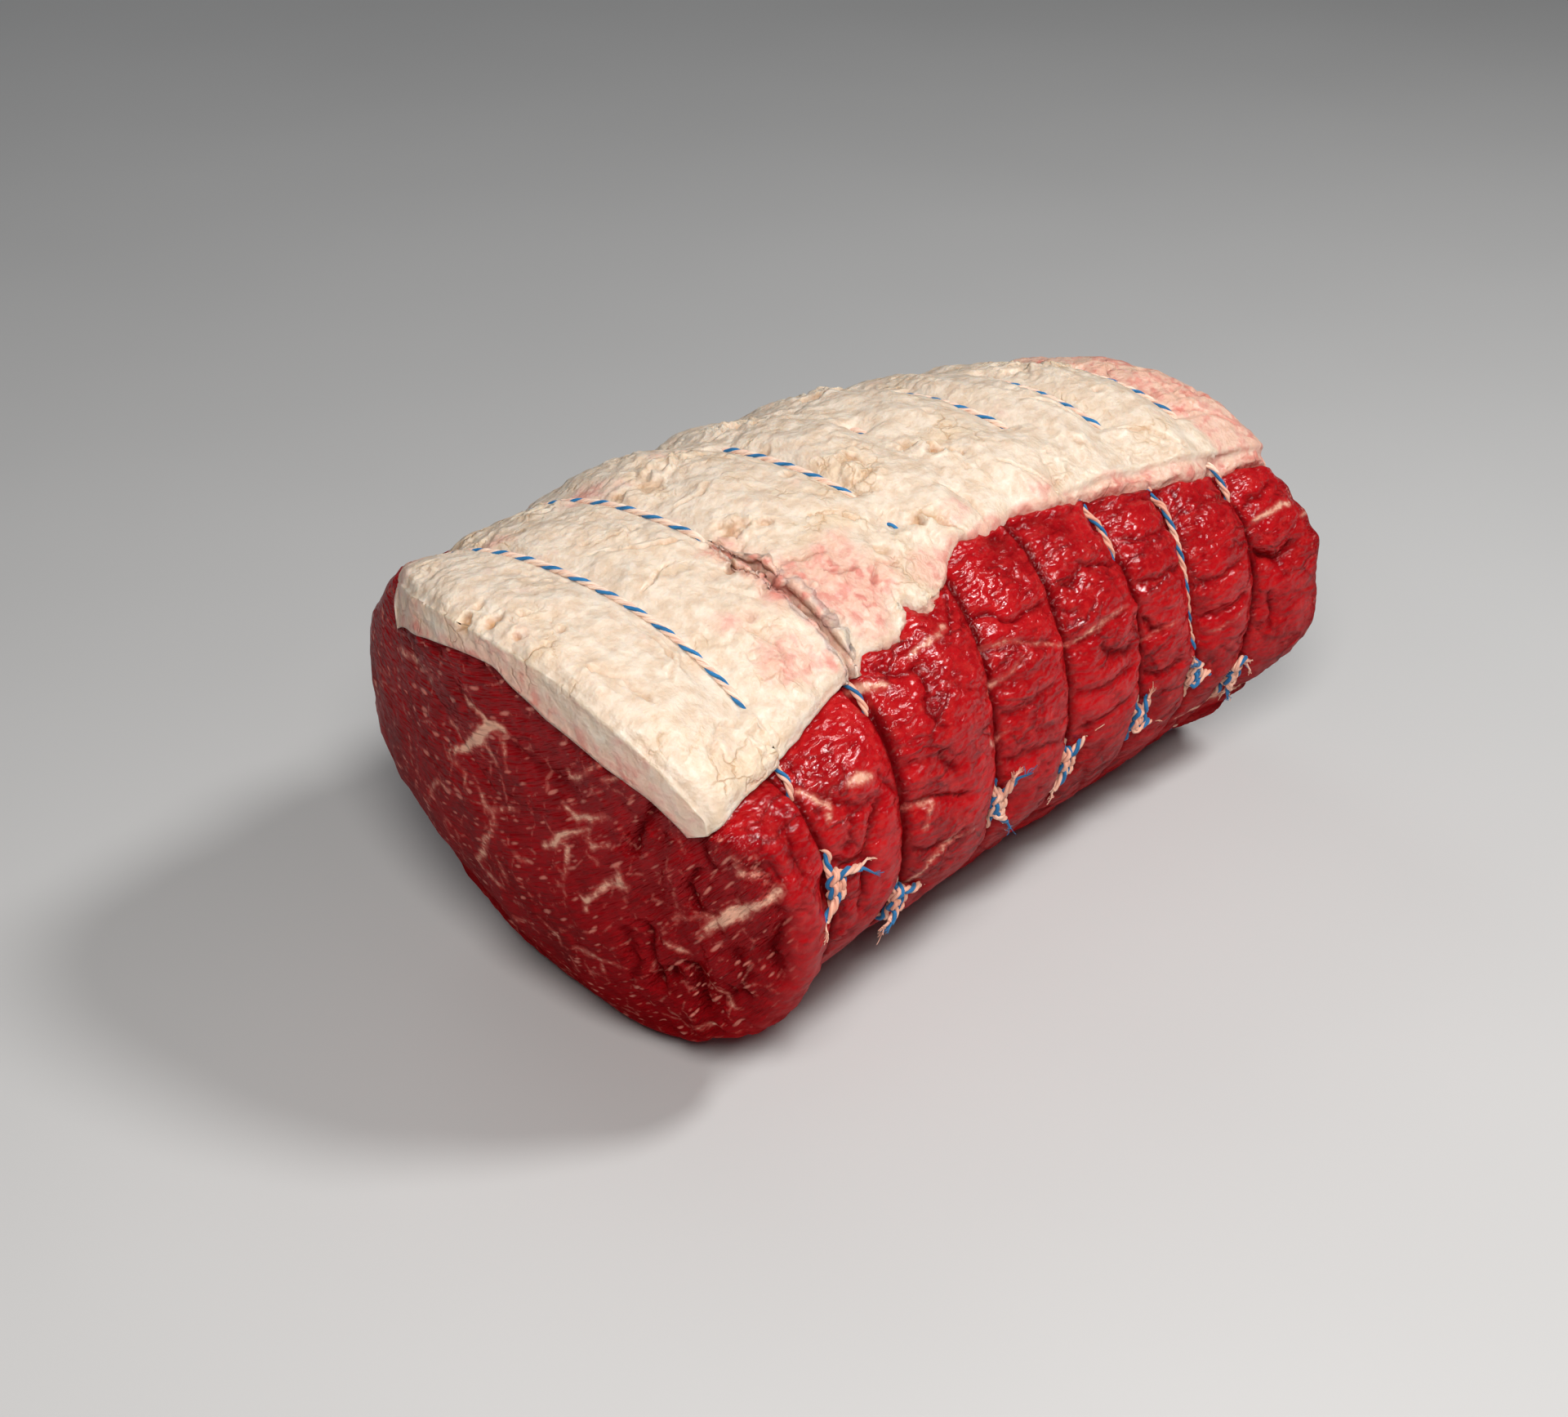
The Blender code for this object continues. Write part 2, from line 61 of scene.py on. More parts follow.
# Where each string crosses, how it leans, and how it wanders along the joint by angle.
STRING_X = (30.0, 60.2, 99.7, 126.9, 156.4, 181.3, 206.4)
STRING_LEAN = 0.047
STRING_WANDER = (
    ((40, 1.5), (70, 0.0), (162, 0.0), (177, 4.0), (205, 6.5), (290, 6.0), (340, 4.0)),
    ((60, 0.0), (150, 0.0), (178, 0.6), (194, 3.2), (240, 3.5), (300, 1.0), (345, -1.0)),
    ((60, 0.0), (140, 1.0), (165, -2.6), (178, -2.8), (188, -0.6), (250, 1.5), (330, 1.0)),
    ((60, 0.0), (138, 1.5), (160, -0.4), (180, -0.8), (190, 1.4), (260, -1.0), (330, 0.5)),
    ((60, 1.5), (110, 2.0), (150, 0.0), (178, 0.4), (191, 3.0), (250, 2.0), (330, -1.0)),
    ((60, 2.0), (110, 1.5), (142, 0.2), (165, -0.6), (186, 1.2), (260, -1.5), (330, 0.5)),
    ((60, -0.5), (118, 2.4), (142, 0.2), (165, 0.8), (196, -2.4), (260, 0.5), (330, 1.0)),
)
TWINE_RADIUS, TWINE_ROOM = 1.0, 0.5         # room left under it where the joint lies on the table
KNOT_ANGLE = (176.5, 193.5, 187.0, 189.0, 190.5, 186.5, 195.5)
LAST_LOBE = len(STRING_X)
# How far each lobe swells past its strings, how far low down, and the share of it by angle.
LOBE_SWELL = (6.0, 4.6, 6.4, 6.0, 6.2, 5.2, 5.4, 7.0)
LOW_SWELL = (7.0, 0.5, 1.5, 3.2, 3.4, 3.2, 1.5, 2.0)
LOW_FROM, LOW_FULLY = 188.0, 212.0
SWELL_ROUND = ((0, 0.45), (60, 0.5), (140, 0.5), (165, 1), (226, 1), (262, 0.35), (330, 0.35))
LOBE_POWER, LOBE_FULLNESS = 2.1, 0.5
SLIT_HALF = (0.15, 1.1)                     # the groove over a string: closed, and open
SLIT_CLOSES, SLIT_FULLEST = 1.9, 0.7        # how much higher a closed groove's floor is, and its limit
# Where the lobes leave a string in sight on the knot side: string, from and to angle, and share.
# On the underside and the far side it shows as well, from the first pair of angles to the next.
STRING_SHOWS = ((0, 151, 159, 1), (1, 146, 154, 1), (4, 136, 150, 1), (5, 138, 178, 1), (6, 136, 146, 1))
SHOWS_FROM, SHOWS_TO = (208, 222), (30, 50)
KNOT_PIT, KNOT_PIT_RADIUS = 0.6, 5.5        # share of the swelling lost round a knot
# The fat's edges by x, how ragged they are, and its thickness: in the middle, along its right
# and left edges, and round its near end by angle.
FAT_LEFT = ((0, 51), (14, 51), (20, 49), (28, 44), (38, 39), (60, 34), (110, 31), (240, 33))
FAT_RIGHT = (
    (0, 157.5), (14, 155), (30, 153.6), (60, 148.2), (80, 147), (85.5, 142.6), (89.5, 145.4),
    (99, 143.4), (104, 139), (110, 136.2), (130, 135), (160, 137), (200, 139.8), (240, 141),
)
FAT_RAGGED = ((0, 0.25), (56, 0.3), (66, 1.5), (110, 1.5), (135, 0.9), (240, 0.9))
FAT_THICK = ((0, 11), (60, 9.5), (240, 8))
FAT_THICK_RIGHT = ((0, 6.5), (60, 5), (85, 3.4), (240, 3.2))
FAT_THICK_LEFT = 4.0
THINS_LEFT, THINS_RIGHT = 0.3, 0.6          # shares of the width where it starts to thin
NEAR_FAT_DEPTH = (
    (36, 5.2), (43, 5.6), (50, 6.2), (62, 6.6), (73, 5.6), (87, 4), (99, 3.3), (107, 6), (114, 7.6),
    (121, 9.2), (137, 9.8), (143, 8.6), (149, 6.6), (158, 5.2),
)
NEAR_FAT_ENDS = (14.0, 38.0)                # x over which the near end's thickness runs out
# How proud of the fat's underside the meat stays beside it, near and far, and over what width.
LIP_NEAR, LIP_FAR, LIP_BLEND = 0.1, 0.75, 7.0
CRACK_STRING = 1
UNDER_FAT = (1.8, 4.0)                      # where the meat steps down under the fat's edge
MEAT_BELOW, FAT_BELOW = 0.6, 0.3            # the meat and the fat keep this far under their border
BORDER_ROUNDED = 0.7                        # how much of the rounding at the ends this border has
# The rims of the cut faces, and how their edges are rounded, along the joint and inwards.
NEAR_RIM_X = (
    (0, 20), (30, 19), (50, 18), (68, 9), (84, 5), (105, 3.5), (130, 3), (150, 5), (162, 9.5), (175, 14),
    (200, 17.5), (240, 20), (270, 21), (315, 24),
)
NEAR_FACE_X = 4.0
ROUND_ALONG = ((0, 15), (40, 9), (60, 3), (150, 3), (172, 9), (200, 12), (240, 17), (270, 22), (315, 18))
ROUND_IN = (
    (0, 13), (40, 5.5), (60, 2), (150, 2), (172, 7), (200, 8), (235, 11), (255, 15), (275, 19),
    (315, 19), (340, 16),
)
ROUND_ARC = 0.87                            # how far an edge turns before it meets a cut face
RIM_BLEND = 6.0                             # over which a cut face gives way to the lobes
# How flat the cut faces are in the middle, and how quickly the first lobe loses their form.
FACE_FLATNESS, RIM_RUNS_OUT = 2.4, 5
FAR_RIM_X, FAR_FACE_X = 233.5, 241.0
FAR_ROUND_ALONG = 16.0
FAR_ROUND_IN = (
    (0, 9), (50, 11), (90, 10), (120, 6.5), (150, 4), (170, 2.5), (190, 2.5), (220, 8), (290, 9),
)
# Columns of the mesh, in stretches of from and to angle and step, closest on the knot side.
MEAT_COLUMNS = ((-40, 50, 1.5), (50, 128, 1.7), (128, 212, 0.62), (212, 228, 0.9), (228, 320, 1.8))
ROW_EVERY, ROWS_CROWD = 0.9, 0.65           # how much closer the rows lie in the grooves
FACE_ROWS, FAR_FACE_ROWS = 50, 15
# The grooves where lobes meet are painted darker in the colour, a painted shade.
GROOVE_SHADE, GROOVE_HALF_DARK = 1.0, 1.6 # the colour is deepest where lobes meet
PUCKERED = 5.0                              # how far from a string the surface is puckered
MM_PER_DEGREE = 1.3                         # on the knot side
# The torn band under the near end of the fat, and the angles over which it starts and ends.
TORN_BELOW, TORN_HALF, TORN_DEPTH = 2.0, 1.9, 1.1
TORN_STARTS, TORN_ENDS = (52, 62), (136, 146)
GRAIN_BEND, GRAIN_MIDDLE = 0.0058, 23.5     # the muscle's grain is arched in the cut faces

# Fat seams in the cut faces, through points of y, z and half width, and on the lobes, through
# points of x, angle and half width. They are where the real joint has them; finer flecks are
# in the material.
FACE_SEAMS = (
    ((3, 92, .6), (-3, 89, 1.5), (-4, 88, 2), (-1, 83, 2), (3, 79, 1.6), (12, 73, .7)),
    ((-4, 88, 1.9), (-9, 88, 1.4), (-13, 87, .4)), ((-2, 83, .6), (-5, 81, .5), (-7, 78, .3)),
    ((-8, 86, .5), (-10, 83, .4), (-10, 78, .5)), ((11, 82, .7), (8, 81, .9), (7, 79, .4)),
    ((35, 90, .4), (29, 90, .9), (22, 91, .9), (17, 91, .4)), ((45, 93, .4), (42, 91, .3)),
    ((46, 78, .5), (39, 80, .3)), ((20, 86, .3), (18, 89, .6)),
    ((25, 52, .4), (21, 58, 1), (17, 63, .6), (12, 63, .7), (9, 63, .3)), ((19, 54, .4), (22, 57, .8)),
    ((12, 72, .5), (5, 71, .5), (5, 66, .3)),
    ((1, 69, .4), (-1, 65, .9), (-5, 65, .9), (-3, 58, .6), (1, 54, 1.1), (2, 50, 1.2),
     (7, 44, .9), (4, 42, .8), (-3, 42, .4)),
    ((-5, 65, .7), (-12, 69, .3)), ((-3, 51, .3), (-5, 48, .5), (-5, 44, .2)),
    ((-29, 86, .5), (-30, 84, .9), (-34, 87, .6), (-41, 93, .4)), ((-40, 88, .8), (-44, 90, .4)),
    ((-27, 76, .5), (-31, 74, 1.2), (-34, 75, .9), (-40, 78, .5)),
    ((-20, 62, .7), (-25, 66, 1.6), (-28, 69, 1), (-34, 72, .5)),
    ((-25, 66, 1.2), (-28, 65, 1), (-27, 60, .8), (-26, 56, .3)),
    ((-33, 71, .5), (-35, 68, 1), (-40, 71, .4)), ((-10, 56, .4), (-13, 55, .9), (-16, 56, .4)),
    ((-30, 53, .6), (-32, 52, 1.2), (-36, 57, 1), (-41, 61, 1.4), (-42, 66, .6)),
    ((-32, 52, .8), (-32, 49, .5)), ((-41, 61, .9), (-44, 61, .5), (-42, 56, .3)),
    ((-25, 35, .5), (-29, 35, 1), (-33, 35, .7), (-40, 35, .4)), ((-33, 35, .4), (-32, 30, .2)),
    ((-22, 30, .5), (-22, 25, .8)), ((-15, 39, .3), (-20, 36, .7), (-20, 33, .3)),
    ((-61, 53, .7), (-67, 60, 2), (-71, 63, 1.9), (-76, 67, 1.3), (-80, 73, .7), (-84, 78, .4)),
    ((-71, 79, .4), (-72, 74, .8), (-75, 73, .4)), ((-56, 56, .3), (-64, 59, .6)),
    ((-53, 49, .8), (-57, 47, .5)), ((-60, 37, .6), (-65, 31, .9)), ((-3, 31, .8), (-8, 34, .5)),
    ((-47, 23, .6), (-49, 23, .8)), ((-51, 19, .5), (-57, 21, .8)), ((31, 60, .3), (30, 68, .4)),
    ((-12, 22, .4), (-14, 18, .8)), ((16, 44, .3), (18, 50, .4)), ((30, 45, .6), (27, 42, .5)),
)
SIDE_SEAMS = (
    ((44, 162.5, 1), (48, 162, 1.6), (52, 163.5, .9)), ((33, 160, 1), (38, 163.5, 1.3), (36, 166, .6)),
    ((62, 150, 1.4), (67, 151.5, 1.3)), ((77, 149, .6), (84, 148.5, 1), (92, 147.5, .8)),
    ((62, 173, .3), (69, 174, .7), (65, 178, .4)),
    ((66, 192, .8), (68, 187, .9), (74, 184, .6), (84, 185, .4)), ((72, 184.5, .5), (80, 181, .3)),
    ((99, 154, .3), (108, 155, .6), (124, 161, .4)), ((95, 162.5, .6), (103, 161, .8), (110, 159, .4)),
    ((92, 170, .6), (97, 173, .7), (101, 171, .3)), ((128, 162, .4), (137, 160.5, .8), (151, 159.5, .5)),
    ((211, 152.5, .6), (219, 151, 1.4), (235, 149, 1.3)),
    ((184, 203, .9), (195, 205, 1.7), (206, 208, 1.5), (219, 210, 1.8), (231, 206, 1.7), (236, 194, 1.1)),
    ((155, 170, .3), (170, 168, .4)), ((186, 176, .3), (198, 173, .4)), ((62, 12, .4), (88, 8, .5)),
    ((128, 352, .5), (150, 347, .5)), ((186, 20, .4), (204, 24, .5)), ((30, 340, .7), (52, 331, .6)),
    ((70, 330, .6), (88, 338, .5)), ((100, 25, .4), (118, 30, .6)), ((216, 350, .8), (230, 340, .6)),
)
SEAM_FADES = 3.0

# Folds of the lobes on the knot side and of the near face: depth, half width, and points.
SIDE_FOLDS = (
    (1.5, 0.8, (35, 160), (39, 163), (45, 166), (52, 167)), (1.3, 0.8, (42, 165), (41, 170), (39, 173)),
    (2.6, 1.2, (56, 166), (50, 169), (46, 174), (45, 181), (43, 188)),
    (1.2, 0.8, (34, 172), (39, 175), (45, 177)), (1.2, 0.9, (54, 163), (60, 170)),
    (1.9, 1, (79, 150), (77, 155), (74, 159), (77, 163)), (1.9, 0.7, (62, 173), (70, 173.5), (83, 177)),
    (1.7, 1.3, (73, 165), (75, 169), (79, 171)), (1.3, 0.8, (68, 148), (73, 151), (81, 151)),
    (1, 0.7, (60, 165), (67, 166), (73, 165)), (1.2, 0.8, (60, 181), (70, 184), (82, 183)),
    (1.6, 0.8, (96, 149), (105, 148), (112, 152), (128, 152)),
    (1.4, 0.7, (97, 155), (108, 156), (124, 159.5)), (1.2, 0.7, (97, 163), (103, 162), (112, 158)),
    (1.2, 0.8, (93, 168), (103, 168), (121, 167)), (0.9, 0.8, (111, 145), (112, 149)),
    (1.2, 0.8, (94, 178), (106, 177), (120, 180)),
    (1.7, 0.8, (130, 149), (136, 151), (142, 148), (158, 151)), (1, 0.7, (127, 155), (135, 156)),
    (1.4, 0.8, (128, 162), (137, 161), (153, 160)), (1.8, 1.3, (137, 163), (141, 168), (152, 169)),
    (1.3, 0.8, (127, 172), (136, 174), (152, 173)), (1.2, 0.8, (128, 181), (137, 181), (150, 180)),
    (1.4, 0.8, (158, 156), (166, 157), (182, 156)), (2, 1.2, (158, 163), (161, 168), (166, 169)),
    (1.3, 0.8, (153, 176), (163, 180), (175, 178)), (1.2, 0.7, (160, 145), (168, 148), (183, 146)),
    (1.4, 0.8, (183, 162), (189, 163), (204, 160)), (1.2, 0.8, (182, 171), (189, 172), (202, 169)),
    (3.6, 1.8, (208, 158), (212, 163), (217, 164), (225, 160)),
    (1.8, 1.1, (211, 172), (213, 178), (211, 184)), (1.4, 0.8, (209, 149), (215, 146), (228, 143)),
    (1.6, 1.2, (12, 162), (16, 167), (16, 173)), (1.5, 1, (27, 160), (22, 166), (25, 172)),
    (1.4, 1.1, (13, 177), (17, 181), (19, 187)),
)
FACE_FOLDS = (
    (3.2, 1.2, (-48, 53), (-48, 42), (-49, 29)), (3.2, 1.2, (-57, 46), (-58, 34), (-57, 24)),
    (2.6, 1.1, (-53, 88), (-49, 77), (-45, 69)), (2.8, 1.1, (-78, 92), (-77, 81), (-79, 72)),
    (2.4, 1, (-66, 39), (-62, 31)), (2.2, 1, (-52, 42), (-52, 33)),
    (2.4, 1.1, (-74, 76), (-78, 71), (-79, 61)), (2.8, 1.2, (-80, 64), (-76, 51), (-77, 40)),
    (2.2, 1, (-63, 74), (-60, 66), (-62, 58)), (0.8, 1.6, (10, 94), (-14, 85), (-34, 80)),
    (1.4, 1, (-68, 52), (-70, 42), (-68, 34)), (1.2, 0.9, (-42, 50), (-43, 38), (-40, 28)),
    (1.4, 0.9, (-66, 88), (-64, 80), (-67, 71)),
)


def polynomial(terms, t):
    return terms[0] + terms[1] * t + terms[2] * t * t


def through(points, where, period=None):
    """A smooth curve through a few (position, value) points, which never overshoots them."""
    at, value = np.array(points, float).T
    if period:
        at = np.concatenate([at[-2:] - period, at, at[:2] + period])
        value = np.concatenate([value[-2:], value, value[:2]])
        where = np.mod(where, period)
    rise = np.diff(value) / np.diff(at)
    before, after = rise[:-1], rise[1:]
    turns = before * after <= 0
    both = np.where(turns, 1.0, before + after)
    slope = np.concatenate([[0], np.where(turns, 0, 2 * before * after / both), [0]])
    k = np.clip(np.searchsorted(at, where) - 1, 0, len(at) - 2)
    step = at[k + 1] - at[k]
    s = np.clip((where - at[k]) / step, 0, 1)
    start = (1 + 2 * s) * (1 - s) ** 2 * value[k] + s * (1 - s) ** 2 * step * slope[k]
    return start + s * s * (3 - 2 * s) * value[k + 1] + s * s * (s - 1) * step * slope[k + 1]


def ease(start, end, v):
    s = np.clip((v - start) / (end - start), 0, 1)
    return s * s * (3 - 2 * s)


def string_radius(x, angle):
    """Distance from the middle of the section to the centre line that a string has at x."""
    t = x / LENGTH
    c, s = np.cos(np.radians(angle)), np.sin(np.radians(angle))
    width = np.where(c < 0, polynomial(KNOT_SIDE_WIDTH, t), polynomial(FAR_SIDE_WIDTH, t))
    half = polynomial(HEIGHT, t) / 2 + np.where(s < 0, UNDERSIDE_SAG, 0)
    far_corner = FAR_TOP_SQUARENESS - FAR_CORNER_SLACK * np.clip(t, 0, 1) ** 1.5
    n = np.where(s < 0, UNDERSIDE_SQUARENESS, np.where(c < 0, TOP_SQUARENESS, far_corner))
    return ((np.abs(c) / width) ** n + (np.abs(s) / half) ** n) ** (-1 / n)


def section_middle(x):
    return polynomial(RIDGE_Y, x / LENGTH), polynomial(HEIGHT, x / LENGTH) / 2


def place(x, angle, radius, lowest=0.0):
    """Points at a distance from the section's middle, none of them lower than lowest."""
    y, z = section_middle(x)
    y, z = y + radius * np.cos(np.radians(angle)), z + radius * np.sin(np.radians(angle))
    return np.stack(np.broadcast_arrays(x, y, np.maximum(z, lowest)), -1)


def round_section(points):
    """The angle of points round the section's middle, and their distance from it."""
    y, z = section_middle(points[..., 0])
    y, z = points[..., 1] - y, points[..., 2] - z
    return np.degrees(np.arctan2(z, y)), np.hypot(y, z)


def field(points, size, seed):
    """Smooth noise from -1 to 1 at points in mm, with lumps of about this size. The size may
    be three, for lumps that are longer one way."""
    spots = np.asarray(points, float).reshape(-1, 3) / size + seed
    values = np.array([noise.noise(spot) for spot in spots.tolist()])
    return values.reshape(np.shape(points)[:-1])


def lumpy(points, *lumps):
    """Lumps of a few kinds added up, each kind given by its height, size and seed."""
    return sum(high * field(points, size, seed) for high, size, seed in lumps)


def pebbly(points, *lumps):
    """The same, but rounded, with creases between the lumps and 0 in a crease."""
    return sum(high * np.abs(field(points, size, seed)) for high, size, seed in lumps)


def bent(points, by, size, seed):
    """Points moved by up to this many mm each way, in waves of this size."""
    return points + by * np.stack([field(points, size, seed + k) for k in range(3)], -1)


def cells(points, size, seed):
    """Distance from the middle of the nearest cell, how far from the edge between two, and a
    height from about -1 to 1 as if each cell were tilted its own way."""
    spots = np.asarray(points, float).reshape(-1, 3) / size + seed
    found = [noise.voronoi(spot) for spot in spots.tolist()]
    distances = np.array([distance[:2] for distance, middles in found])
    middles = np.array([middles[0] for distance, middles in found])
    # A fixed jumble of a cell's place gives it a tilt and a height of its own.
    ways = np.sin(middles * (12.9, 78.2, 37.7) + middles[:, [1, 2, 0]] * 5)
    tilt = ((spots - middles) * ways).sum(1) + 0.5 * np.sin(middles.sum(1) * 91)
    shape = np.shape(points)[:-1]
    nearest = distances[:, 0].reshape(shape)
    return nearest, distances[:, 1].reshape(shape) - nearest, tilt.reshape(shape)


def along_stretches(u, v, line):
    """For each stretch of a line through a few points: its length, how far along it points (u, v)
    are from 0 to 1, and how far from it."""
    for (a, b), (c, d) in zip(line, line[1:]):
        length = math.hypot(c - a, d - b)
        s = np.clip(((u - a) * (c - a) + (v - b) * (d - b)) / length ** 2, 0, 1)
        yield length, s, np.hypot(u - a - s * (c - a), v - b - s * (d - b))


def from_line(u, v, line):
    """Distance of points (u, v) from a line through a few points, and where along it from 0 to 1."""
    total = sum(math.dist(a, b) for a, b in zip(line, line[1:]))
    best, along, run = np.full(np.shape(u), 1e3), np.zeros(np.shape(u)), 0.0
    for length, s, away in along_stretches(u, v, line):
        along = np.where(away < best, (run + s * length) / total, along)
        best = np.minimum(best, away)
        run += length
    return best, along


def folded(u, v, folds, v_scale=1.0):
    """Relief of folds and how deep in one each point is: they are sharp, with soft shoulders."""
    relief, share = 0 * u, 0 * u
    for depth, half, *line in folds:
        away, along = from_line(u, v, [(a, b * v_scale) for a, b in line])
        ends = ease(0, 0.14, along) * (1 - ease(0.86, 1, along))
        shoulder = np.exp(-(away / (3.4 * half)) ** 2) * np.sqrt(np.clip(4 * along * (1 - along), 0, 1))
        relief = relief - depth * (0.75 * np.exp(-away / half) * ends + 0.35 * shoulder)
        share = np.maximum(share, np.exp(-(away / half) ** 2) * ends * min(depth / 1.6, 1))
    return relief, share


def from_seams(u, v, seams, v_scale=1.0):
    """Distance from the edge of the nearest seam, below 0 inside it."""
    nearest = np.full(np.shape(u), SEAM_FADES)
    for seam in seams:
        line = [(a, b * v_scale) for a, b, half in seam]
        halves = [point[2] for point in seam]
        for half, next_half, (length, s, away) in zip(halves, halves[1:], along_stretches(u, v, line)):
            nearest = np.minimum(nearest, away - half - (next_half - half) * s)
    return nearest


def string_x(i, angle):
    lean = STRING_LEAN * string_radius(STRING_X[i], angle) * np.sin(np.radians(angle))
    return STRING_X[i] + lean + through(STRING_WANDER[i], angle, 360)


def stretches(table, i, angle, rise):
    """How high the table's stretches of one string are: string, from and to angle, and height."""
    share = 0 * angle
    for string, start, end, high in table:
        if string == i:
            within = ease(start - 2, start + rise, angle) * (1 - ease(end - 1, end + 2, angle))
            share = np.maximum(share, high * within)
    return share


def shows(i, angle):
    """How far the lobes leave a string in sight, from 0 to 1."""
    turned = np.mod(angle, 360)
    elsewhere = np.maximum(ease(*SHOWS_FROM, turned), 1 - ease(*SHOWS_TO, turned))
    return np.maximum(elsewhere, stretches(STRING_SHOWS, i, turned, 1))


def near_rim(angle):
    return through(NEAR_RIM_X, angle, 360)


def lobe_ends(lobe, angle):
    """Where a lobe starts and ends along the joint, at the grooves beside it."""
    def slit(i):
        return SLIT_HALF[0] + (SLIT_HALF[1] - SLIT_HALF[0]) * shows(i, angle)
    start, end = near_rim(angle), FAR_RIM_X + 0 * angle
    if lobe > 0:
        start = string_x(lobe - 1, angle) + slit(lobe - 1)
    if lobe < LAST_LOBE:
        end = string_x(lobe, angle) - slit(lobe)
    return start, end


def before_rim(angle, share):
    """How far the near cut face lies in front of its rim, at a share of the way out to it."""
    return (near_rim(angle) - NEAR_FACE_X) * (1 - np.clip(share, 0, 1) ** FACE_FLATNESS)


def swell_at(lobe, q, power, fullness):
    """How far a lobe swells, from 0 in its grooves to 1 in the middle."""
    s = 2 * q - 1
    if lobe == 0:
        s = q
    if lobe == LAST_LOBE:
        s = 1 - q
    return (1 - abs(s) ** power) ** fullness


def rounding(x, angle):
    """How much the rounded edge of the nearer cut face takes off the radius."""
    far = x > LENGTH / 2
    from_rim = np.where(far, FAR_RIM_X - x, x - near_rim(angle))
    along = np.where(far, FAR_ROUND_ALONG, through(ROUND_ALONG, angle, 360))
    depth = np.where(far, through(FAR_ROUND_IN, angle, 360), through(ROUND_IN, angle, 360))
    s = ROUND_ARC * np.clip(1 - from_rim / along, 0, 1)
    return depth * (1 - np.sqrt(1 - s * s)) / (1 - math.sqrt(1 - ROUND_ARC ** 2))


def fat_edges(x):
    """The angles of both edges of the fat at x, which wander and are torn."""
    spots = np.stack([x, 0 * x, 0 * x], -1)
    wander = lumpy(spots, (1.2, 9, 61), (0.9, 3.2, 62)) * through(FAT_RAGGED, x)
    return through(FAT_LEFT, x) - wander, through(FAT_RIGHT, x) + wander


def fat_thickness(x, angle, left, right):
    s = (angle - left) / (right - left)
    middle = through(FAT_THICK, x)
    thick = middle - (middle - through(FAT_THICK_RIGHT, x)) * ease(THINS_RIGHT, 1.0, s)
    thick = thick - (middle - FAT_THICK_LEFT) * (1 - ease(0.0, THINS_LEFT, s))
    return thick + (through(NEAR_FAT_DEPTH, angle) - thick) * (1 - ease(*NEAR_FAT_ENDS, x))


def underside_of_fat(x, angle, left, right):
    inside = np.clip(angle, left, right)
    under = string_radius(x, angle) - fat_thickness(x, inside, left, right)
    return under - BORDER_ROUNDED * rounding(x, angle)


def meat_ring(lobe, q, angle):
    """One ring of points round the meat, at a share q of the way along a lobe: swollen outside
    the fat, and a sunken shelf under it."""
    start, end = lobe_ends(lobe, angle)
    x = start + (end - start) * q
    left, right = fat_edges(x)
    floor = string_radius(x, angle) - TWINE_RADIUS
    turned = np.mod(angle, 360)
    low = ease(LOW_FROM, LOW_FULLY, turned)
    swell = LOBE_SWELL[lobe] + (LOW_SWELL[lobe] - LOBE_SWELL[lobe]) * low
    swell = TWINE_RADIUS + swell * through(SWELL_ROUND, angle, 360)
    raised = 0 * angle
    for i in (lobe - 1, lobe):
        if 0 <= i < LAST_LOBE:
            apart = np.hypot(x - string_x(i, angle), (turned - KNOT_ANGLE[i]) * MM_PER_DEGREE)
            by_knot = np.exp(-(apart / KNOT_PIT_RADIUS) ** 2)
            swell = swell * (1 - KNOT_PIT * by_knot)
            near_end = (q < 0.5) == (i == lobe - 1)
            raised = raised + near_end * SLIT_CLOSES * (1 - shows(i, angle)) * (1 - by_knot)
    raised = np.minimum(raised, SLIT_FULLEST * swell)
    shape = swell_at(lobe, q, LOBE_POWER, LOBE_FULLNESS)
    full = floor + raised + (swell - raised) * shape - rounding(x, angle)
    aside = np.radians(np.maximum(np.maximum(angle - right, left - angle), 0)) * floor
    aside = np.where(angle > 200, np.radians(np.maximum(left + 360 - angle, 0)) * floor, aside)
    lip = LIP_NEAR if lobe <= CRACK_STRING else LIP_FAR
    dip = np.clip(full - underside_of_fat(x, right + 0 * angle, left, right), 0, None) * (1 - lip)
    bare = full - dip * np.exp(-aside / LIP_BLEND)
    within = np.radians(np.minimum(angle - left, right - angle)) * floor
    shelf = underside_of_fat(x, angle, left, right) - MEAT_BELOW
    radius = bare - np.clip(bare - shelf, 0, None) * ease(*UNDER_FAT, within)
    if lobe == 0:
        x = x - before_rim(angle, radius / bare) * (1 - q) ** RIM_RUNS_OUT
    in_groove = (q == 1 and lobe < LAST_LOBE) or (q == 0 and lobe > 0)
    return place(x, angle, radius, 2 * TWINE_RADIUS + TWINE_ROOM if in_groove else 0.0)


def lobe_steps(lobe):
    """Steps from groove to groove, closer together in the grooves."""
    start, end = lobe_ends(lobe, np.array([180.0]))
    t = np.linspace(0, 1, round((end[0] - start[0]) / ROW_EVERY) + 2)
    return t - ROWS_CROWD * np.sin(2 * math.pi * t) / (2 * math.pi)


def face_rings(rim, middle_x, rows):
    """Rings from the middle of a cut face out to its rim."""
    middle = np.array([middle_x, rim[:, 1].mean(), rim[:, 2].mean()])
    rings = []
    for step in np.linspace(0, 1, rows + 1)[1:-1]:
        ring = middle + (rim - middle) * step
        ring[:, 0] = middle_x + (rim[:, 0] - middle_x) * step ** FACE_FLATNESS
        rings.append(ring)
    return rings


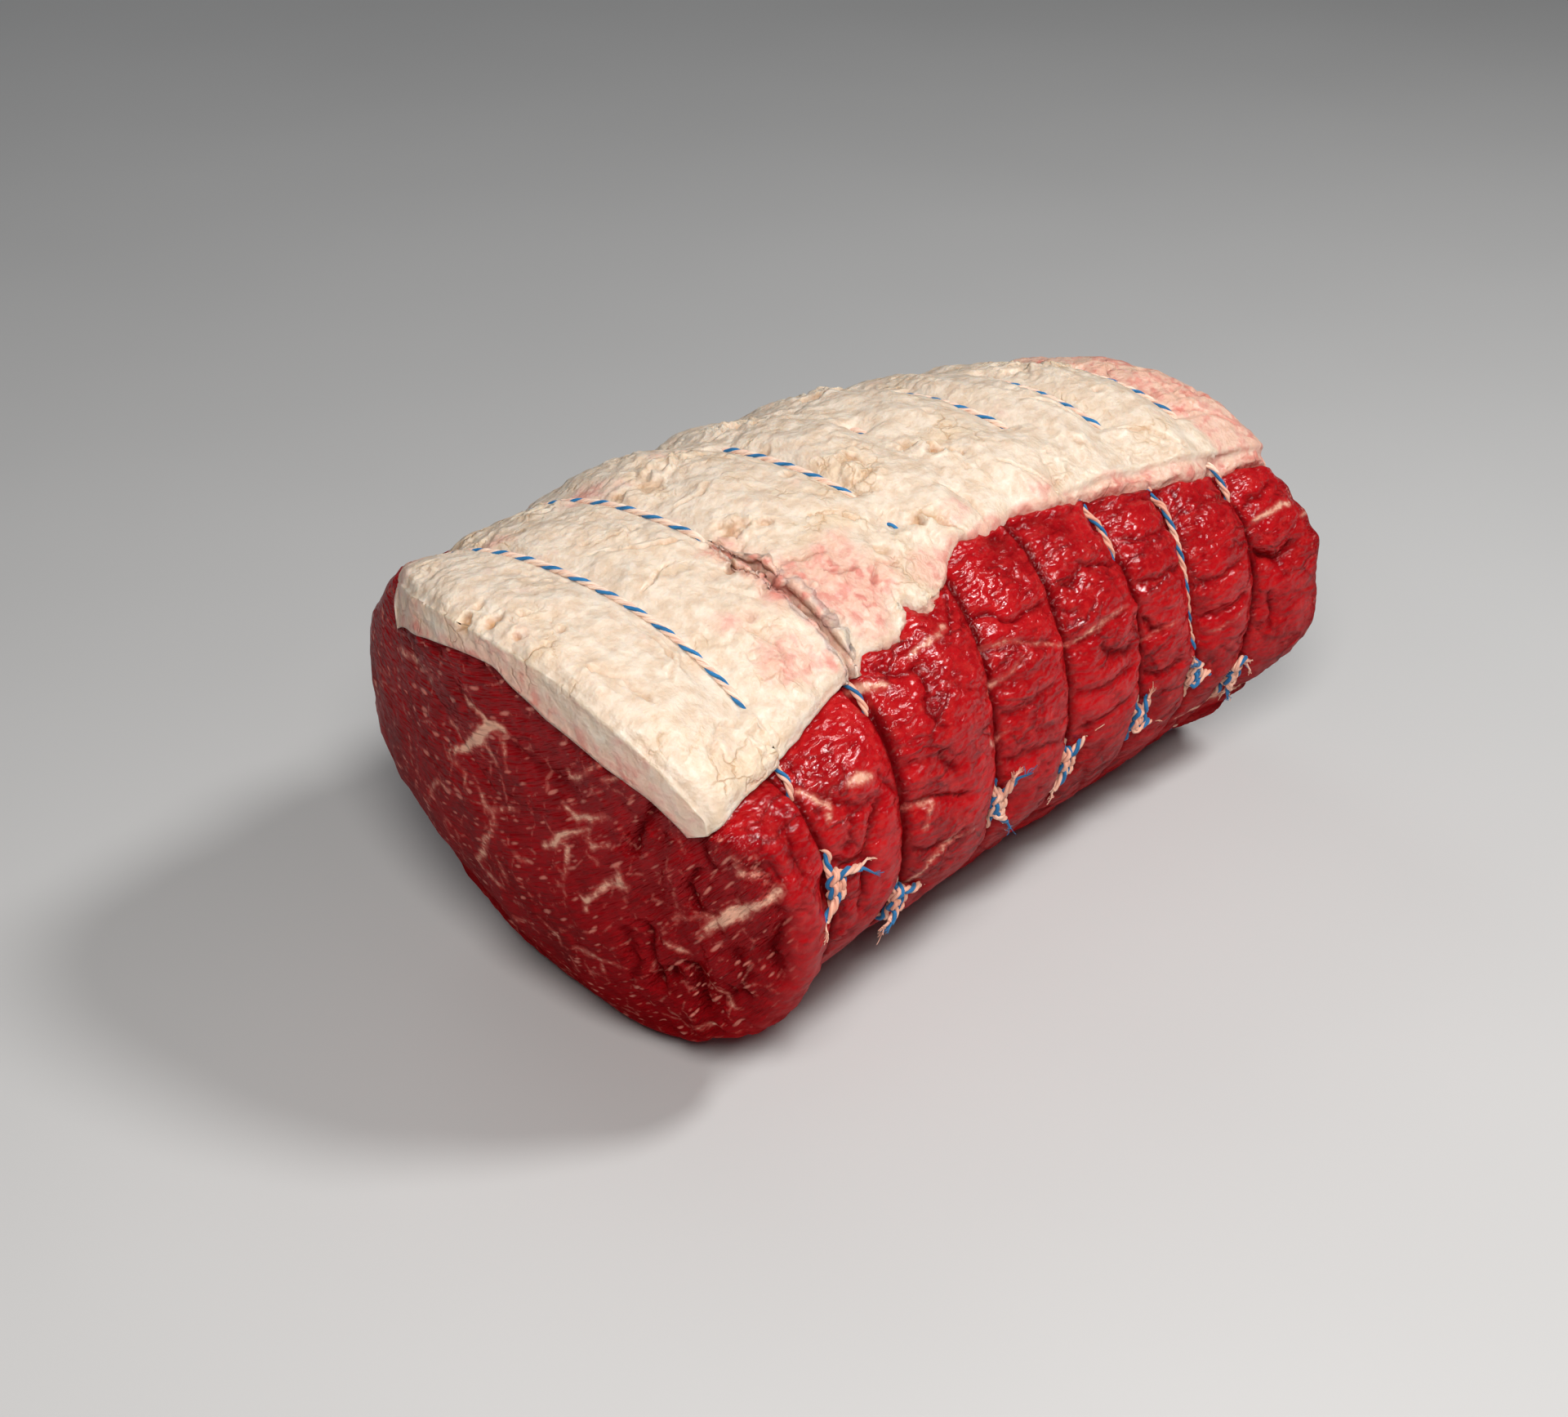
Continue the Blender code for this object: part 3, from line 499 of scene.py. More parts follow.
def outward(grid, loop_rows, loop_columns):
    """Directions straight out of a grid of points."""
    def across(axis, loop):
        if loop:
            return np.roll(grid, -1, axis) - np.roll(grid, 1, axis)
        return np.gradient(grid, axis=axis)
    normal = np.cross(across(1, loop_columns), across(0, loop_rows))
    return normal / np.maximum(np.linalg.norm(normal, axis=-1, keepdims=True), 1e-9)


def make_piece(name, points, faces, materials):
    """A smooth mesh in metres from the part's origin."""
    mesh = bpy.data.meshes.new(name)
    mesh.from_pydata(((np.asarray(points).reshape(-1, 3) - ORIGIN) * 0.001).tolist(), [], faces)
    for material in materials:
        mesh.materials.append(material)
    mesh.shade_smooth()
    piece = bpy.data.objects.new(name, mesh)
    bpy.context.scene.collection.objects.link(piece)
    return piece


def grid_faces(rows, columns, loop_rows, loop_columns):
    index = np.arange(rows * columns).reshape(rows, columns)
    if loop_rows:
        index = np.concatenate([index, index[:1]])
    if loop_columns:
        index = np.concatenate([index, index[:, :1]], 1)
    corners = (index[:-1, :-1], index[:-1, 1:], index[1:, 1:], index[1:, :-1])
    return np.stack(corners, -1).reshape(-1, 4).tolist()


def paint(piece, name, values):
    """Keep a number, or three, at each point of a mesh for its material."""
    values = np.asarray(values, float)
    three = np.shape(values)[-1] == 3
    values = values.reshape(-1, 3) if three else values.reshape(-1, 1)
    missing = len(piece.data.vertices) - len(values)
    values = np.concatenate([values, np.repeat(values[:1], missing, 0)])
    layer = piece.data.attributes.new(name, "FLOAT_VECTOR" if three else "FLOAT", "POINT")
    layer.data.foreach_set("vector" if three else "value", values.astype(np.float32).ravel())


angle = np.concatenate([np.arange(*stretch) for stretch in MEAT_COLUMNS])
side, lobe_of_row = [], []
for lobe in range(LAST_LOBE + 1):
    for q in lobe_steps(lobe):
        side.append(meat_ring(lobe, q, angle))
        lobe_of_row.append(lobe)
near = face_rings(side[0], NEAR_FACE_X, FACE_ROWS)
far = face_rings(side[-1], FAR_FACE_X, FAR_FACE_ROWS)
meat = np.array(near + side + far[::-1])
on_side = np.zeros(len(meat), bool)
on_side[len(near):len(near) + len(side)] = True
out = outward(meat, False, True)

# Relief of the lobes: blocks of muscle with creases between them, pebbled by the ends of the
# fibres, and puckers where a string gathers the surface.
BLOCKS, BLOCK_CROWN, BLOCK_TILT = (25, 12.5, 12.5), 0.6, 0.35
SMALL_BLOCKS, SMALL_CROWN, SMALL_TILT = (9, 5.5, 5.5), 0.35, 0.25
CREASE_DEEP, CREASE_WIDE = 1.3, 0.07        # in mm, and as a share of a block's width
SMALL_CREASE_DEEP, SMALL_CREASE_WIDE = 0.55, 0.08
# Where SIDE_FOLDS has its own creases: the angles, and the share of the chance ones that is left.
FOLDS_FROM, FOLDS_TO, CREASES_LEFT = (135, 145), (192, 205), 0.4
lobes = meat[on_side]
lobe_number = np.array(lobe_of_row)[:, None] + 0 * angle
warped = bent(lobes, 5, 14, 5)
# Each lobe has its own blocks, so none of them crosses a groove.
own_blocks = np.stack([lobe_number * 137.0, 0 * lobe_number, 0 * lobe_number], -1)
middle, edge, tilt = cells(warped + own_blocks, BLOCKS, 3)
u, v = (start + lumpy(lobes, (1.4, 5, seed), (0.5, 2, seed + 1))
        for start, seed in ((lobes[..., 0], 11), (np.mod(angle, 360) * MM_PER_DEGREE, 13)))
has_folds = ease(*FOLDS_FROM, angle) * (1 - ease(*FOLDS_TO, angle))
comes_and_goes = np.clip(0.55 + 0.9 * field(lobes, 22, 15), 0, 1)
comes_and_goes = comes_and_goes * (1 - (1 - CREASES_LEFT) * has_folds)
crease = np.exp(-edge / CREASE_WIDE) * comes_and_goes
relief = BLOCK_CROWN * (0.5 - middle) * comes_and_goes - CREASE_DEEP * crease
fine_middle, fine_edge, fine_tilt = cells(warped, SMALL_BLOCKS, 9)
fine_crease = np.exp(-fine_edge / SMALL_CREASE_WIDE) * np.clip(0.2 + 1.3 * field(lobes, 12, 16), 0, 1)
relief += (SMALL_CROWN * (0.5 - fine_middle) - SMALL_CREASE_DEEP * fine_crease
           + BLOCK_TILT * tilt + SMALL_TILT * fine_tilt)
fold_relief, fold_share = folded(u, v, SIDE_FOLDS, MM_PER_DEGREE)
relief += fold_relief
crease = np.maximum(np.maximum(crease, fold_share), 0.6 * fine_crease)
groove = np.min([np.abs(lobes[..., 0] - string_x(i, angle)) for i in range(LAST_LOBE)], 0)
puckers = lumpy(lobes, (0.9, (20, 3.4, 3.4), 21)) * np.exp(-groove / PUCKERED)
relief += puckers + lumpy(lobes, (0.7, 26, 22))
relief += pebbly(lobes, (0.4, (7, 4.2, 4.2), 23), (0.32, (3.0, 1.9, 1.9), 24))
relief *= ease(0.2, 2.2, groove)
# The grooves are painted darker with the creases, as shade.
crease = np.maximum(crease, GROOVE_SHADE * np.exp(-(groove / GROOVE_HALF_DARK) ** 2))

# Relief of the cut faces: nearly flat, with the drag of the knife and a few folds, which are
# deeper where the face turns towards the knots.
turns_away = ease(-34, -52, meat[..., 1])
height = lumpy(meat, (0.9, 17, 31), (0.4, (8, 5, 8), 32))
height += (1 + turns_away) * pebbly(meat, (0.3, (3, 2.4, 3.6), 33))
height += turns_away * lumpy(meat, (2.2, (9, 4, 13), 36))
wobble = [lumpy(meat, (2.0, 8, seed), (0.6, 2.5, seed + 2)) for seed in (34, 35)]
fold_relief, creases = folded(meat[..., 1] + wobble[0], meat[..., 2] + wobble[1], FACE_FOLDS)
is_near = meat[..., 0] < LENGTH / 2
height += fold_relief * is_near
creases = creases * is_near
# Under the near end of the fat the meat is torn in a narrow band, painted dark as shade down among its
# shreds.
turned, radius = round_section(meat)
fat_sides = through(FAT_LEFT, meat[..., 0]), through(FAT_RIGHT, meat[..., 0])
below_fat = underside_of_fat(meat[..., 0], turned, *fat_sides) - radius
torn = np.exp(-((below_fat - TORN_BELOW) / TORN_HALF) ** 2) * (meat[..., 0] < NEAR_FAT_ENDS[1])
torn = torn * ease(*TORN_STARTS, turned) * (1 - ease(*TORN_ENDS, turned))
shreds = field(meat, (3, 2, 2.6), 37)
height += TORN_DEPTH * torn * shreds
creases = np.maximum(creases, torn * np.clip(0.35 - 1.2 * shreds, 0, 0.9))
from_rim = np.minimum(lobes[..., 0] - near_rim(angle), FAR_RIM_X - lobes[..., 0])
on_lobe = ease(0, RIM_BLEND, from_rim)
height[on_side] = relief * on_lobe + height[on_side] * (1 - on_lobe)
creases[on_side] = crease * on_lobe + creases[on_side] * (1 - on_lobe)
cut_face = np.ones(meat.shape[:2])
cut_face[on_side] = 1 - on_lobe
meat = meat + out * height[..., None]
meat[..., 2] = np.maximum(meat[..., 2], 0.0)

wobble = [lumpy(meat, (0.9, 5, seed)) for seed in (41, 42)]
seam_on_face = from_seams(meat[..., 1] + wobble[0], meat[..., 2] + wobble[1], FACE_SEAMS)
seam_on_side = from_seams(meat[..., 0] + wobble[0], np.mod(angle, 360) * MM_PER_DEGREE + wobble[1],
                          SIDE_SEAMS, MM_PER_DEGREE)
seam = np.where(cut_face > 0.1, seam_on_face, seam_on_side)
arch = meat[..., 2] - GRAIN_BEND * (meat[..., 1] - GRAIN_MIDDLE) ** 2
grain = np.stack([meat[..., 1], arch, meat[..., 0]], -1) * 0.001

# Each cut face closes with a fan of triangles round its middle.
count = len(angle)
faces = grid_faces(*meat.shape[:2], False, True)
last = meat.shape[0] * count
middles = [meat[0].mean(0), meat[-1].mean(0)]
faces += [(last, (k + 1) % count, k) for k in range(count)]
faces += [(last + 1, last - count + k, last - count + (k + 1) % count) for k in range(count)]


def linear(code):
    """An sRGB hex colour as a linear one."""
    values = [int(code[k:k + 2], 16) / 255 for k in (1, 3, 5)]
    return [v / 12.92 if v <= 0.04045 else ((v + 0.055) / 1.055) ** 2.4 for v in values] + [1.0]


def new_material(name):
    """A new material, and the function that adds nodes to it."""
    material = bpy.data.materials.new(name)
    material.use_nodes = True
    tree = material.node_tree
    tree.nodes.clear()

    def add(kind, inputs=None, out=None, **settings):
        """Add a node with its settings, set or link its inputs, and give one of its outputs."""
        node = tree.nodes.new("ShaderNode" + kind)
        for name, value in settings.items():
            setattr(node, name, value)
        for key, value in (inputs or {}).items():
            socket = next(s for k, s in enumerate(node.inputs) if key == k or (key == s.name and s.enabled))
            if isinstance(value, bpy.types.NodeSocket):
                tree.links.new(value, socket)
            else:
                socket.default_value = value
        return next((s for s in node.outputs if s.enabled and out in (None, s.name)), None)

    return material, add


def per_mm(size):
    """The scale of a pattern whose parts are this many mm across."""
    return 1000 / size


# Raw lean beef, cut with a knife: protein gel over fibres, its IOR near that of water. It gives
# a deep red that light sinks into, with small broken highlights on its moist grain.
lean, add = new_material("raw_lean_beef")
spot = add("TexCoord", out="Object")
grain_spot = add("Attribute", out="Vector", attribute_name="grain")
face_share = add("Attribute", out="Fac", attribute_name="cut_face")
crease_share = add("Attribute", out="Fac", attribute_name="crease")
from_seam = add("Attribute", out="Fac", attribute_name="seam")
on_lobes = add("MapRange", {"Value": face_share, "To Min": 1.0, "To Max": 0.25})
mottle = add("TexNoise", {"Vector": spot, "Scale": per_mm(15), "Detail": 4.0})
bundles = add("TexNoise", {"Vector": spot, "Scale": per_mm(3.0), "Detail": 5.0, "Roughness": 0.62})
# Fibres of the lobes run along the joint, about 1 mm across here, coarser than life, to show.
along_lobes = add("Mapping", {"Vector": spot, "Scale": (0.35, 1.0, 1.0)})
side_fibres = add("TexNoise", {"Vector": along_lobes, "Scale": per_mm(1.5), "Detail": 4.0,
                               "Roughness": 0.6, "Distortion": 0.6})
along_face = add("Mapping", {"Vector": grain_spot, "Scale": (0.2, 1.0, 1.0)})
face_fibres = add("TexNoise", {"Vector": along_face, "Scale": per_mm(1.2), "Detail": 5.0,
                               "Roughness": 0.65, "Distortion": 0.8})
fibres = add("Mix", {"Factor": face_share, "A": side_fibres, "B": face_fibres})
# Bundles of fibres end in rounded grains about 2 mm across, and the skin of the lobes wrinkles into blocks
# with thin creases between them, which the colour darkens as a painted shade.
grain_bent = add("Mix", {"Factor": 0.0016, "A": spot, "B": bundles.node.outputs["Color"]},
                 data_type="VECTOR")
long_grains = add("Mapping", {"Vector": grain_bent, "Scale": (0.55, 1.0, 1.0)})
grains = add("TexVoronoi", {"Vector": long_grains, "Scale": per_mm(1.7)}, out="Distance")
wrinkle_bent = spot
for share, waves in ((0.011, mottle), (0.002, bundles)):
    wrinkle_bent = add("Mix", {"Factor": share, "A": wrinkle_bent, "B": waves.node.outputs["Color"]},
                       data_type="VECTOR")
long_blocks = add("Mapping", {"Vector": wrinkle_bent, "Scale": (0.45, 1.0, 1.0)})
wrinkles = add("TexVoronoi", {"Vector": long_blocks, "Scale": per_mm(9)}, feature="DISTANCE_TO_EDGE")
wrinkles = add("MapRange", {"Value": wrinkles, "From Min": 0.07, "From Max": 0.0})
wrinkle_patch = add("MapRange", {"Value": mottle, "From Min": 0.56, "From Max": 0.42, "To Max": 0.75})
for share in (wrinkle_patch, on_lobes):
    wrinkles = add("Math", {0: wrinkles, 1: share}, operation="MULTIPLY")
# The lobes are a clearer red than the cut faces, and both are mottled, with lighter bundles.
patch = add("MapRange", {"Value": mottle, "From Min": 0.36, "From Max": 0.62})
light_bundle = add("MapRange", {"Value": bundles, "From Min": 0.46, "From Max": 0.74})
reds = []
for dark, fair, lightest in (("#98060e", "#b20e16", "#bb2021"), ("#74050a", "#8a0810", "#960c13")):
    mottled = add("Mix", {"Factor": patch, "A": linear(dark), "B": linear(fair)}, data_type="RGBA")
    reds.append(add("Mix", {"Factor": light_bundle, "A": mottled, "B": linear(lightest)}, data_type="RGBA"))
red = add("Mix", {"Factor": face_share, "A": reds[0], "B": reds[1]}, data_type="RGBA")
pale_fibre = add("MapRange", {"Value": fibres, "From Min": 0.52, "From Max": 0.78, "To Max": 0.35})
dark_fibre = add("MapRange", {"Value": fibres, "From Min": 0.46, "From Max": 0.24, "To Max": 0.55})
# The lobes are painted a deeper red low down, a painted shade towards the table.
height_up = add("SeparateXYZ", {"Vector": spot}, out="Z")
low = add("MapRange", {"Value": height_up, "From Min": 0.065, "From Max": 0.0, "To Max": 0.5})
pale_fibre, low = (
    add("Math", {0: share, 1: on_lobes}, operation="MULTIPLY") for share in (pale_fibre, low))
# Wrinkles, creases, folds, grooves and the torn band are painted darker here, a painted shade in them.
crease_shade = add("Math", {0: wrinkles, 1: crease_share}, operation="MAXIMUM")
crease_shade = add("Math", {0: crease_shade, 1: 0.85}, operation="MULTIPLY")
# Flecks of marbling lie along the grain of the cut faces, 1 to 4 mm long, with a net of thin
# veins that comes and goes. The lobes have very few.
wavy = add("TexNoise", {"Vector": grain_spot, "Scale": per_mm(4), "Detail": 3.0}, out="Color")
bent_grain = add("Mix", {"Factor": 0.0014, "A": grain_spot, "B": wavy}, data_type="VECTOR")
fleck_grain = add("Mapping", {"Vector": bent_grain, "Scale": (0.42, 1.0, 1.0)})
flecks = add("TexVoronoi", {"Vector": fleck_grain, "Scale": per_mm(1.9)}, out="Distance")
fleck_colour = add("SeparateColor", {"Color": flecks.node.outputs["Color"]})
fleck_size = add("MapRange", {"Value": fleck_colour, "From Min": 0.3, "From Max": 1.0, "To Max": 0.4})
fleck_mask = add("Math", {0: fleck_size, 1: flecks}, operation="SUBTRACT")
fleck_mask = add("MapRange", {"Value": fleck_mask, "From Min": -0.06, "From Max": 0.16})
veins = add("TexVoronoi", {"Vector": bent_grain, "Scale": per_mm(9)}, feature="DISTANCE_TO_EDGE")
vein_mask = add("MapRange", {"Value": veins, "From Min": 0.06, "From Max": 0.0})
vein_patch = add("MapRange", {"Value": bundles, "From Min": 0.5, "From Max": 0.62, "To Max": 0.5})
vein_mask = add("Math", {0: vein_mask, 1: vein_patch}, operation="MULTIPLY")
small_fat = add("Math", {0: fleck_mask, 1: vein_mask}, operation="MAXIMUM")
on_face = add("MapRange", {"Value": face_share, "To Min": 0.06, "To Max": 0.8})
small_fat = add("Math", {0: small_fat, 1: on_face}, operation="MULTIPLY")
# Of these tones, the deeper red low down and the dark creases are painted shade; the fibre tones and the
# flecks are the meat's own.
for share, tone in ((pale_fibre, "#c03832"), (dark_fibre, "#600308"), (low, "#600308"),
                    (crease_shade, "#4a0206"), (small_fat, "#cf7c6e")):
    red = add("Mix", {"Factor": share, "A": red, "B": linear(tone)}, data_type="RGBA")
# The seams of fat are ragged, and palest along their middle.
ragged = add("Math", {0: bundles, 1: 3.4, 2: -1.9}, operation="MULTIPLY_ADD")
ragged = add("Math", {0: fibres, 1: 1.2, 2: ragged}, operation="MULTIPLY_ADD")
ragged_seam = add("Math", {0: from_seam, 1: ragged}, operation="ADD")
seam_mask = add("MapRange", {"Value": ragged_seam, "From Min": 0.95, "From Max": -0.55, "To Max": 0.95})
seam_core = add("MapRange", {"Value": ragged_seam, "From Min": 0.3, "From Max": -0.7})
marbling = add("Mix", {"Factor": seam_core, "A": linear("#b9554c"), "B": linear("#e0aa92")},
               data_type="RGBA")
red = add("Mix", {"Factor": seam_mask, "A": red, "B": marbling}, data_type="RGBA")
# Its gloss is all in its moist skin, the coat. It is drier low down, where it has lain on paper.
wet = add("MapRange", {"Value": face_share, "To Min": 0.85, "To Max": 0.4})
dry = add("MapRange", {"Value": height_up, "From Min": 0.02, "From Max": 0.085, "To Min": 0.05,
                       "To Max": 1.0})
in_crease = add("MapRange", {"Value": crease_share, "To Min": 1.0, "To Max": 0.15})
for share in (dry, in_crease):
    wet = add("Math", {0: wet, 1: share}, operation="MULTIPLY")
# The moist skin is smooth over the fibres, so its relief has no detail finer than a grain.
lobe_skin = add("TexNoise", {"Vector": long_grains, "Scale": per_mm(1.2), "Detail": 0.0})
face_skin = add("TexNoise", {"Vector": along_face, "Scale": per_mm(1.0), "Detail": 1.0})
face_skin = add("Math", {0: face_skin, 1: 2.0}, operation="MULTIPLY")
ridges = add("Mix", {"Factor": face_share, "A": lobe_skin, "B": face_skin})
for pattern, high in ((grains, -0.3), (wrinkles, -0.5)):
    ridges = add("Math", {0: pattern, 1: high, 2: ridges}, operation="MULTIPLY_ADD")
bump = add("Bump", {"Height": ridges, "Distance": 0.0005, "Strength": 1.0})
surface = add("BsdfPrincipled", {
    "Base Color": red, "Roughness": 0.5, "Normal": bump, "Coat Normal": bump, "IOR": 1.4,
    "Specular IOR Level": 0.0, "Subsurface Weight": 0.12, "Subsurface Radius": (1.0, 0.15, 0.1),
    "Subsurface Scale": 0.002, "Coat Weight": wet, "Coat Roughness": 0.15, "Coat IOR": 1.45})
add("OutputMaterial", {"Surface": surface})

meat_piece = make_piece("lean_meat", np.concatenate([meat.reshape(-1, 3), middles]), faces, [lean])
for name, values in (("cut_face", cut_face), ("crease", creases), ("seam", seam), ("grain", grain)):
    paint(meat_piece, name, values)
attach(meat_piece, "root")
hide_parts("meat")


# The cap of fat: hard white beef fat left on the joint in two sheets that meet at the second
# string, torn apart there towards the knots. It is trimmed with a knife, so it is flat on top
# with pits and torn flakes, and it ends in a knife-cut edge that blood has stained pink.
FAT_SWELL = (3.3, 1.2, 3.3, 3.3, 3.6, 3.3, 3.6, 3.3)        # of each lobe past its strings
FAT_LOBE_POWER, FAT_LOBE_FULLNESS = 2.1, 0.75
FAT_PROUD = 0.9                             # of the near cut face
GROOVE_HALF, GROOVE_DEPTH = 0.75, 0.35
# The crack: the angles over which it opens and closes again, how far each sheet, -1 the front
# one, stands back from its string, how tattered its edge is, and how much it tapers down.
CRACK_START, CRACK_FULL = 104.0, 124.0
CRACK_CLOSES, CRACK_CLOSES_BY = (134, 146), 0.6
CRACK_HALF = {-1: 0.9, 1: 2.7}
TATTERED = {-1: 0.45, 1: 1.0}
CRACK_TAPERS, GROOVE_OPENS, CRACK_LEAST = 0.85, 0.8, 0.1
CRACK_TORN_FROM = (103, 108)                # its walls and their stains start over these angles
# How much of its thickness the fat loses at its trimmed edges by x, and over what width.
KNIFE_EDGE, KNIFE_EDGE_WIDE = ((0, 0.22), (60, 0.3), (85, 0.6), (240, 0.75)), 2.6
# Where the fat closes over a string: string, from and to angle, and how high.
FAT_COVERS = (
    (0, 143, 156, 0.95), (1, 116, 152, 0.8), (2, 60, 72, 0.6), (2, 113, 121, 0.6), (2, 125, 140, 0.8),
    (3, 40, 86, 0.6), (3, 92, 136, 0.7), (4, 40, 74, 0.6), (4, 108, 139, 0.7), (5, 40, 74, 0.6),
    (5, 117, 140, 0.75), (6, 40, 84, 0.6), (6, 119, 134, 0.7),
)
FAT_SPAN, FAT_COLUMN_EVERY, FAT_ROW_EVERY = 110, 0.62, 0.62
NEAR_LEFT_EDGE, NEAR_RIGHT_EDGE = 45.0, 148.0       # angles at which the edges are looked up
# How the rows and columns step down over the edges, from 0 at the top to 1 at the underside.
EDGE_STEPS = (0.12, 0.3, 0.5, 0.7, 0.88, 1.0)
FRONT_EDGE_STEPS = tuple(k / 16 for k in range(1, 17))
LEFT_WALL, RIGHT_WALL = (1.0, 0.85, 0.6, 0.3), (0.1, 0.22, 0.36, 0.5, 0.65, 0.8, 0.92, 1.0)
# Pits: x, angle, radius and depth, below 0 for a lump. Tears: depth, half width, and points of
# x and angle; the fat stands up along one side of each.
PITS = (
    (7, 95, 3.2, 2.2), (4, 89, 2.4, 1.8), (6, 103, 2.6, 1.8), (12, 99, 2, 1.2), (9, 88, 2.2, 1.2),
    (14, 108, 2, 1), (73, 79, 6.5, 1.2), (66, 76, 3.5, 1.3), (69, 106, 4.5, 1.7), (75, 110, 2.5, 1.5),
    (112, 103, 4, 1.4), (118, 99, 2.5, 1.2), (133, 109, 3.6, 3), (129, 104, 4, 1.4), (108, 125, 3, 1.8),
    (146, 96, 3, 1), (104, 84, 2.6, 1.2), (170, 120, 2.6, 1), (50, 128, 2.4, 0.9), (44, 86, 2.2, 1),
    (92, 128, 2.6, 1.1), (84, 60, 3.4, 1.2), (60, 115, 2, 1.6), (140, 66, 3.6, 1.3), (184, 58, 3, 1.2),
    (222, 96, 3.4, 1.3), (20, 62, 2.8, 1.1), (95, 99, 2.4, 1), (160, 110, 2.2, 1), (196, 104, 2.6, 1.1),
    (28, 92, 2, 0.9), (118, 70, 2.8, 1), (65.6, 136.5, 2.6, -1.8), (68.3, 128.7, 2.2, -1.2),
)
TEARS = (
    (1.7, 0.6, (40, 91), (44, 93), (50, 98), (55, 101), (60, 101)),
    (1, 0.5, (37, 110), (43, 108), (51, 106)), (1.5, 0.6, (69, 121), (73, 123), (79, 123)),
    (1.3, 0.6, (72, 126), (76, 129), (82, 129)), (2.4, 0.9, (133, 104), (134, 109), (137, 114)),
    (1.6, 0.7, (110, 123), (112, 128), (116, 132)), (0.9, 0.5, (46, 128), (50, 135), (47, 143)),
    (1.1, 0.5, (81, 134), (88, 130), (94, 133)), (1.1, 0.5, (141, 118), (148, 126), (152, 134)),
    (1.1, 0.5, (121, 118), (126, 125), (124, 132)), (1, 0.5, (172, 100), (178, 106), (179, 114)),
    (1, 0.6, (8, 118), (13, 126), (12, 134)), (1.1, 0.6, (76, 46), (88, 54), (96, 52)),
    (1.1, 0.6, (150, 44), (160, 52), (172, 50)), (1.1, 0.6, (212, 60), (222, 72), (226, 84)),
    (1.4, 0.6, (78, 71), (84, 75), (92, 74)), (1.2, 0.6, (66, 90), (74, 93), (82, 90)),
    (1.2, 0.5, (100, 106), (108, 110), (114, 108)), (1.1, 0.5, (84, 112), (92, 116), (96, 122)),
    (1.2, 0.6, (110, 62), (116, 66), (122, 63)), (1.3, 0.6, (146, 60), (152, 64), (158, 61)),
    (1, 0.5, (20, 132), (27, 127), (29, 120)), (0.9, 0.5, (14, 146), (22, 142), (27, 144)),
    (1.1, 0.5, (186, 118), (194, 122), (200, 130)), (1.1, 0.5, (210, 112), (218, 118), (226, 126)),
)
# Blood stains: x, angle, radius and strength.
STAINS = (
    (74, 131, 22, 0.95), (100, 136, 9, 0.9), (58.5, 143, 5, 1), (50, 138, 12, 0.9), (46, 127, 8, 0.55),
    (62, 65, 12, 0.7), (88, 69, 10, 0.5), (37, 66, 10, 0.45), (118, 127, 8, 0.6), (224, 128, 13, 0.8),
    (146, 130, 7, 0.5), (232, 104, 14, 0.8), (236, 70, 12, 0.6),
)
# Where the trimming has left torn flakes: x, angle, radius and height.
FLAKES = (
    (81, 75, 9, 1.8), (57, 61, 8, 1.5), (54, 89, 6, 1.2), (150, 62, 10, 1.6), (114, 64, 9, 1.6),
    (108, 106, 7, 1.2), (70, 108, 9, 1.4), (133, 108, 7, 1.4), (84, 142, 7, 1.4), (29, 150, 5, 1.4),
    (63, 122, 7, 1.4), (200, 80, 14, 1.4), (186, 130, 9, 1.2), (35, 60, 7, 1.2), (220, 110, 10, 1.3),
    (54, 122, 6, 0.9), (94, 142, 6, 1.6), (100, 124, 8, 1), (10, 100, 6, 0.8), (160, 124, 8, 1),
)
FLAKE_SIZE, FLAKES_ELSEWHERE = 3.4, 0.5     # and their height on the rest of the fat
# How wide and how strong the pink band along the right edge is. On the far lobes it is a bevel.
PINK_BAND = ((0, 1.5), (60, 3), (84, 5), (110, 6), (150, 7), (168, 9.5), (190, 11), (240, 11))
BAND_STRENGTH = ((0, 0.25), (34, 0.3), (60, 0.75), (100, 0.9), (150, 0.85), (185, 1.0), (240, 1.0))
BEVEL_FROM, BEVEL_DEPTH = (142, 168), 1.7
FAR_LOBE_PINK, LEFT_PINK, LEFT_PINK_WIDE = 0.85, 0.6, (20, 3)
STAIN_CORE, CRACK_STAIN = 0.75, 4.2         # a stain's even middle, and how far the crack's reaches
NEAR_END = 30                               # x up to which it is the thick, clean near end


def covered(i, angle):
    return stretches(FAT_COVERS, i, angle, 2)


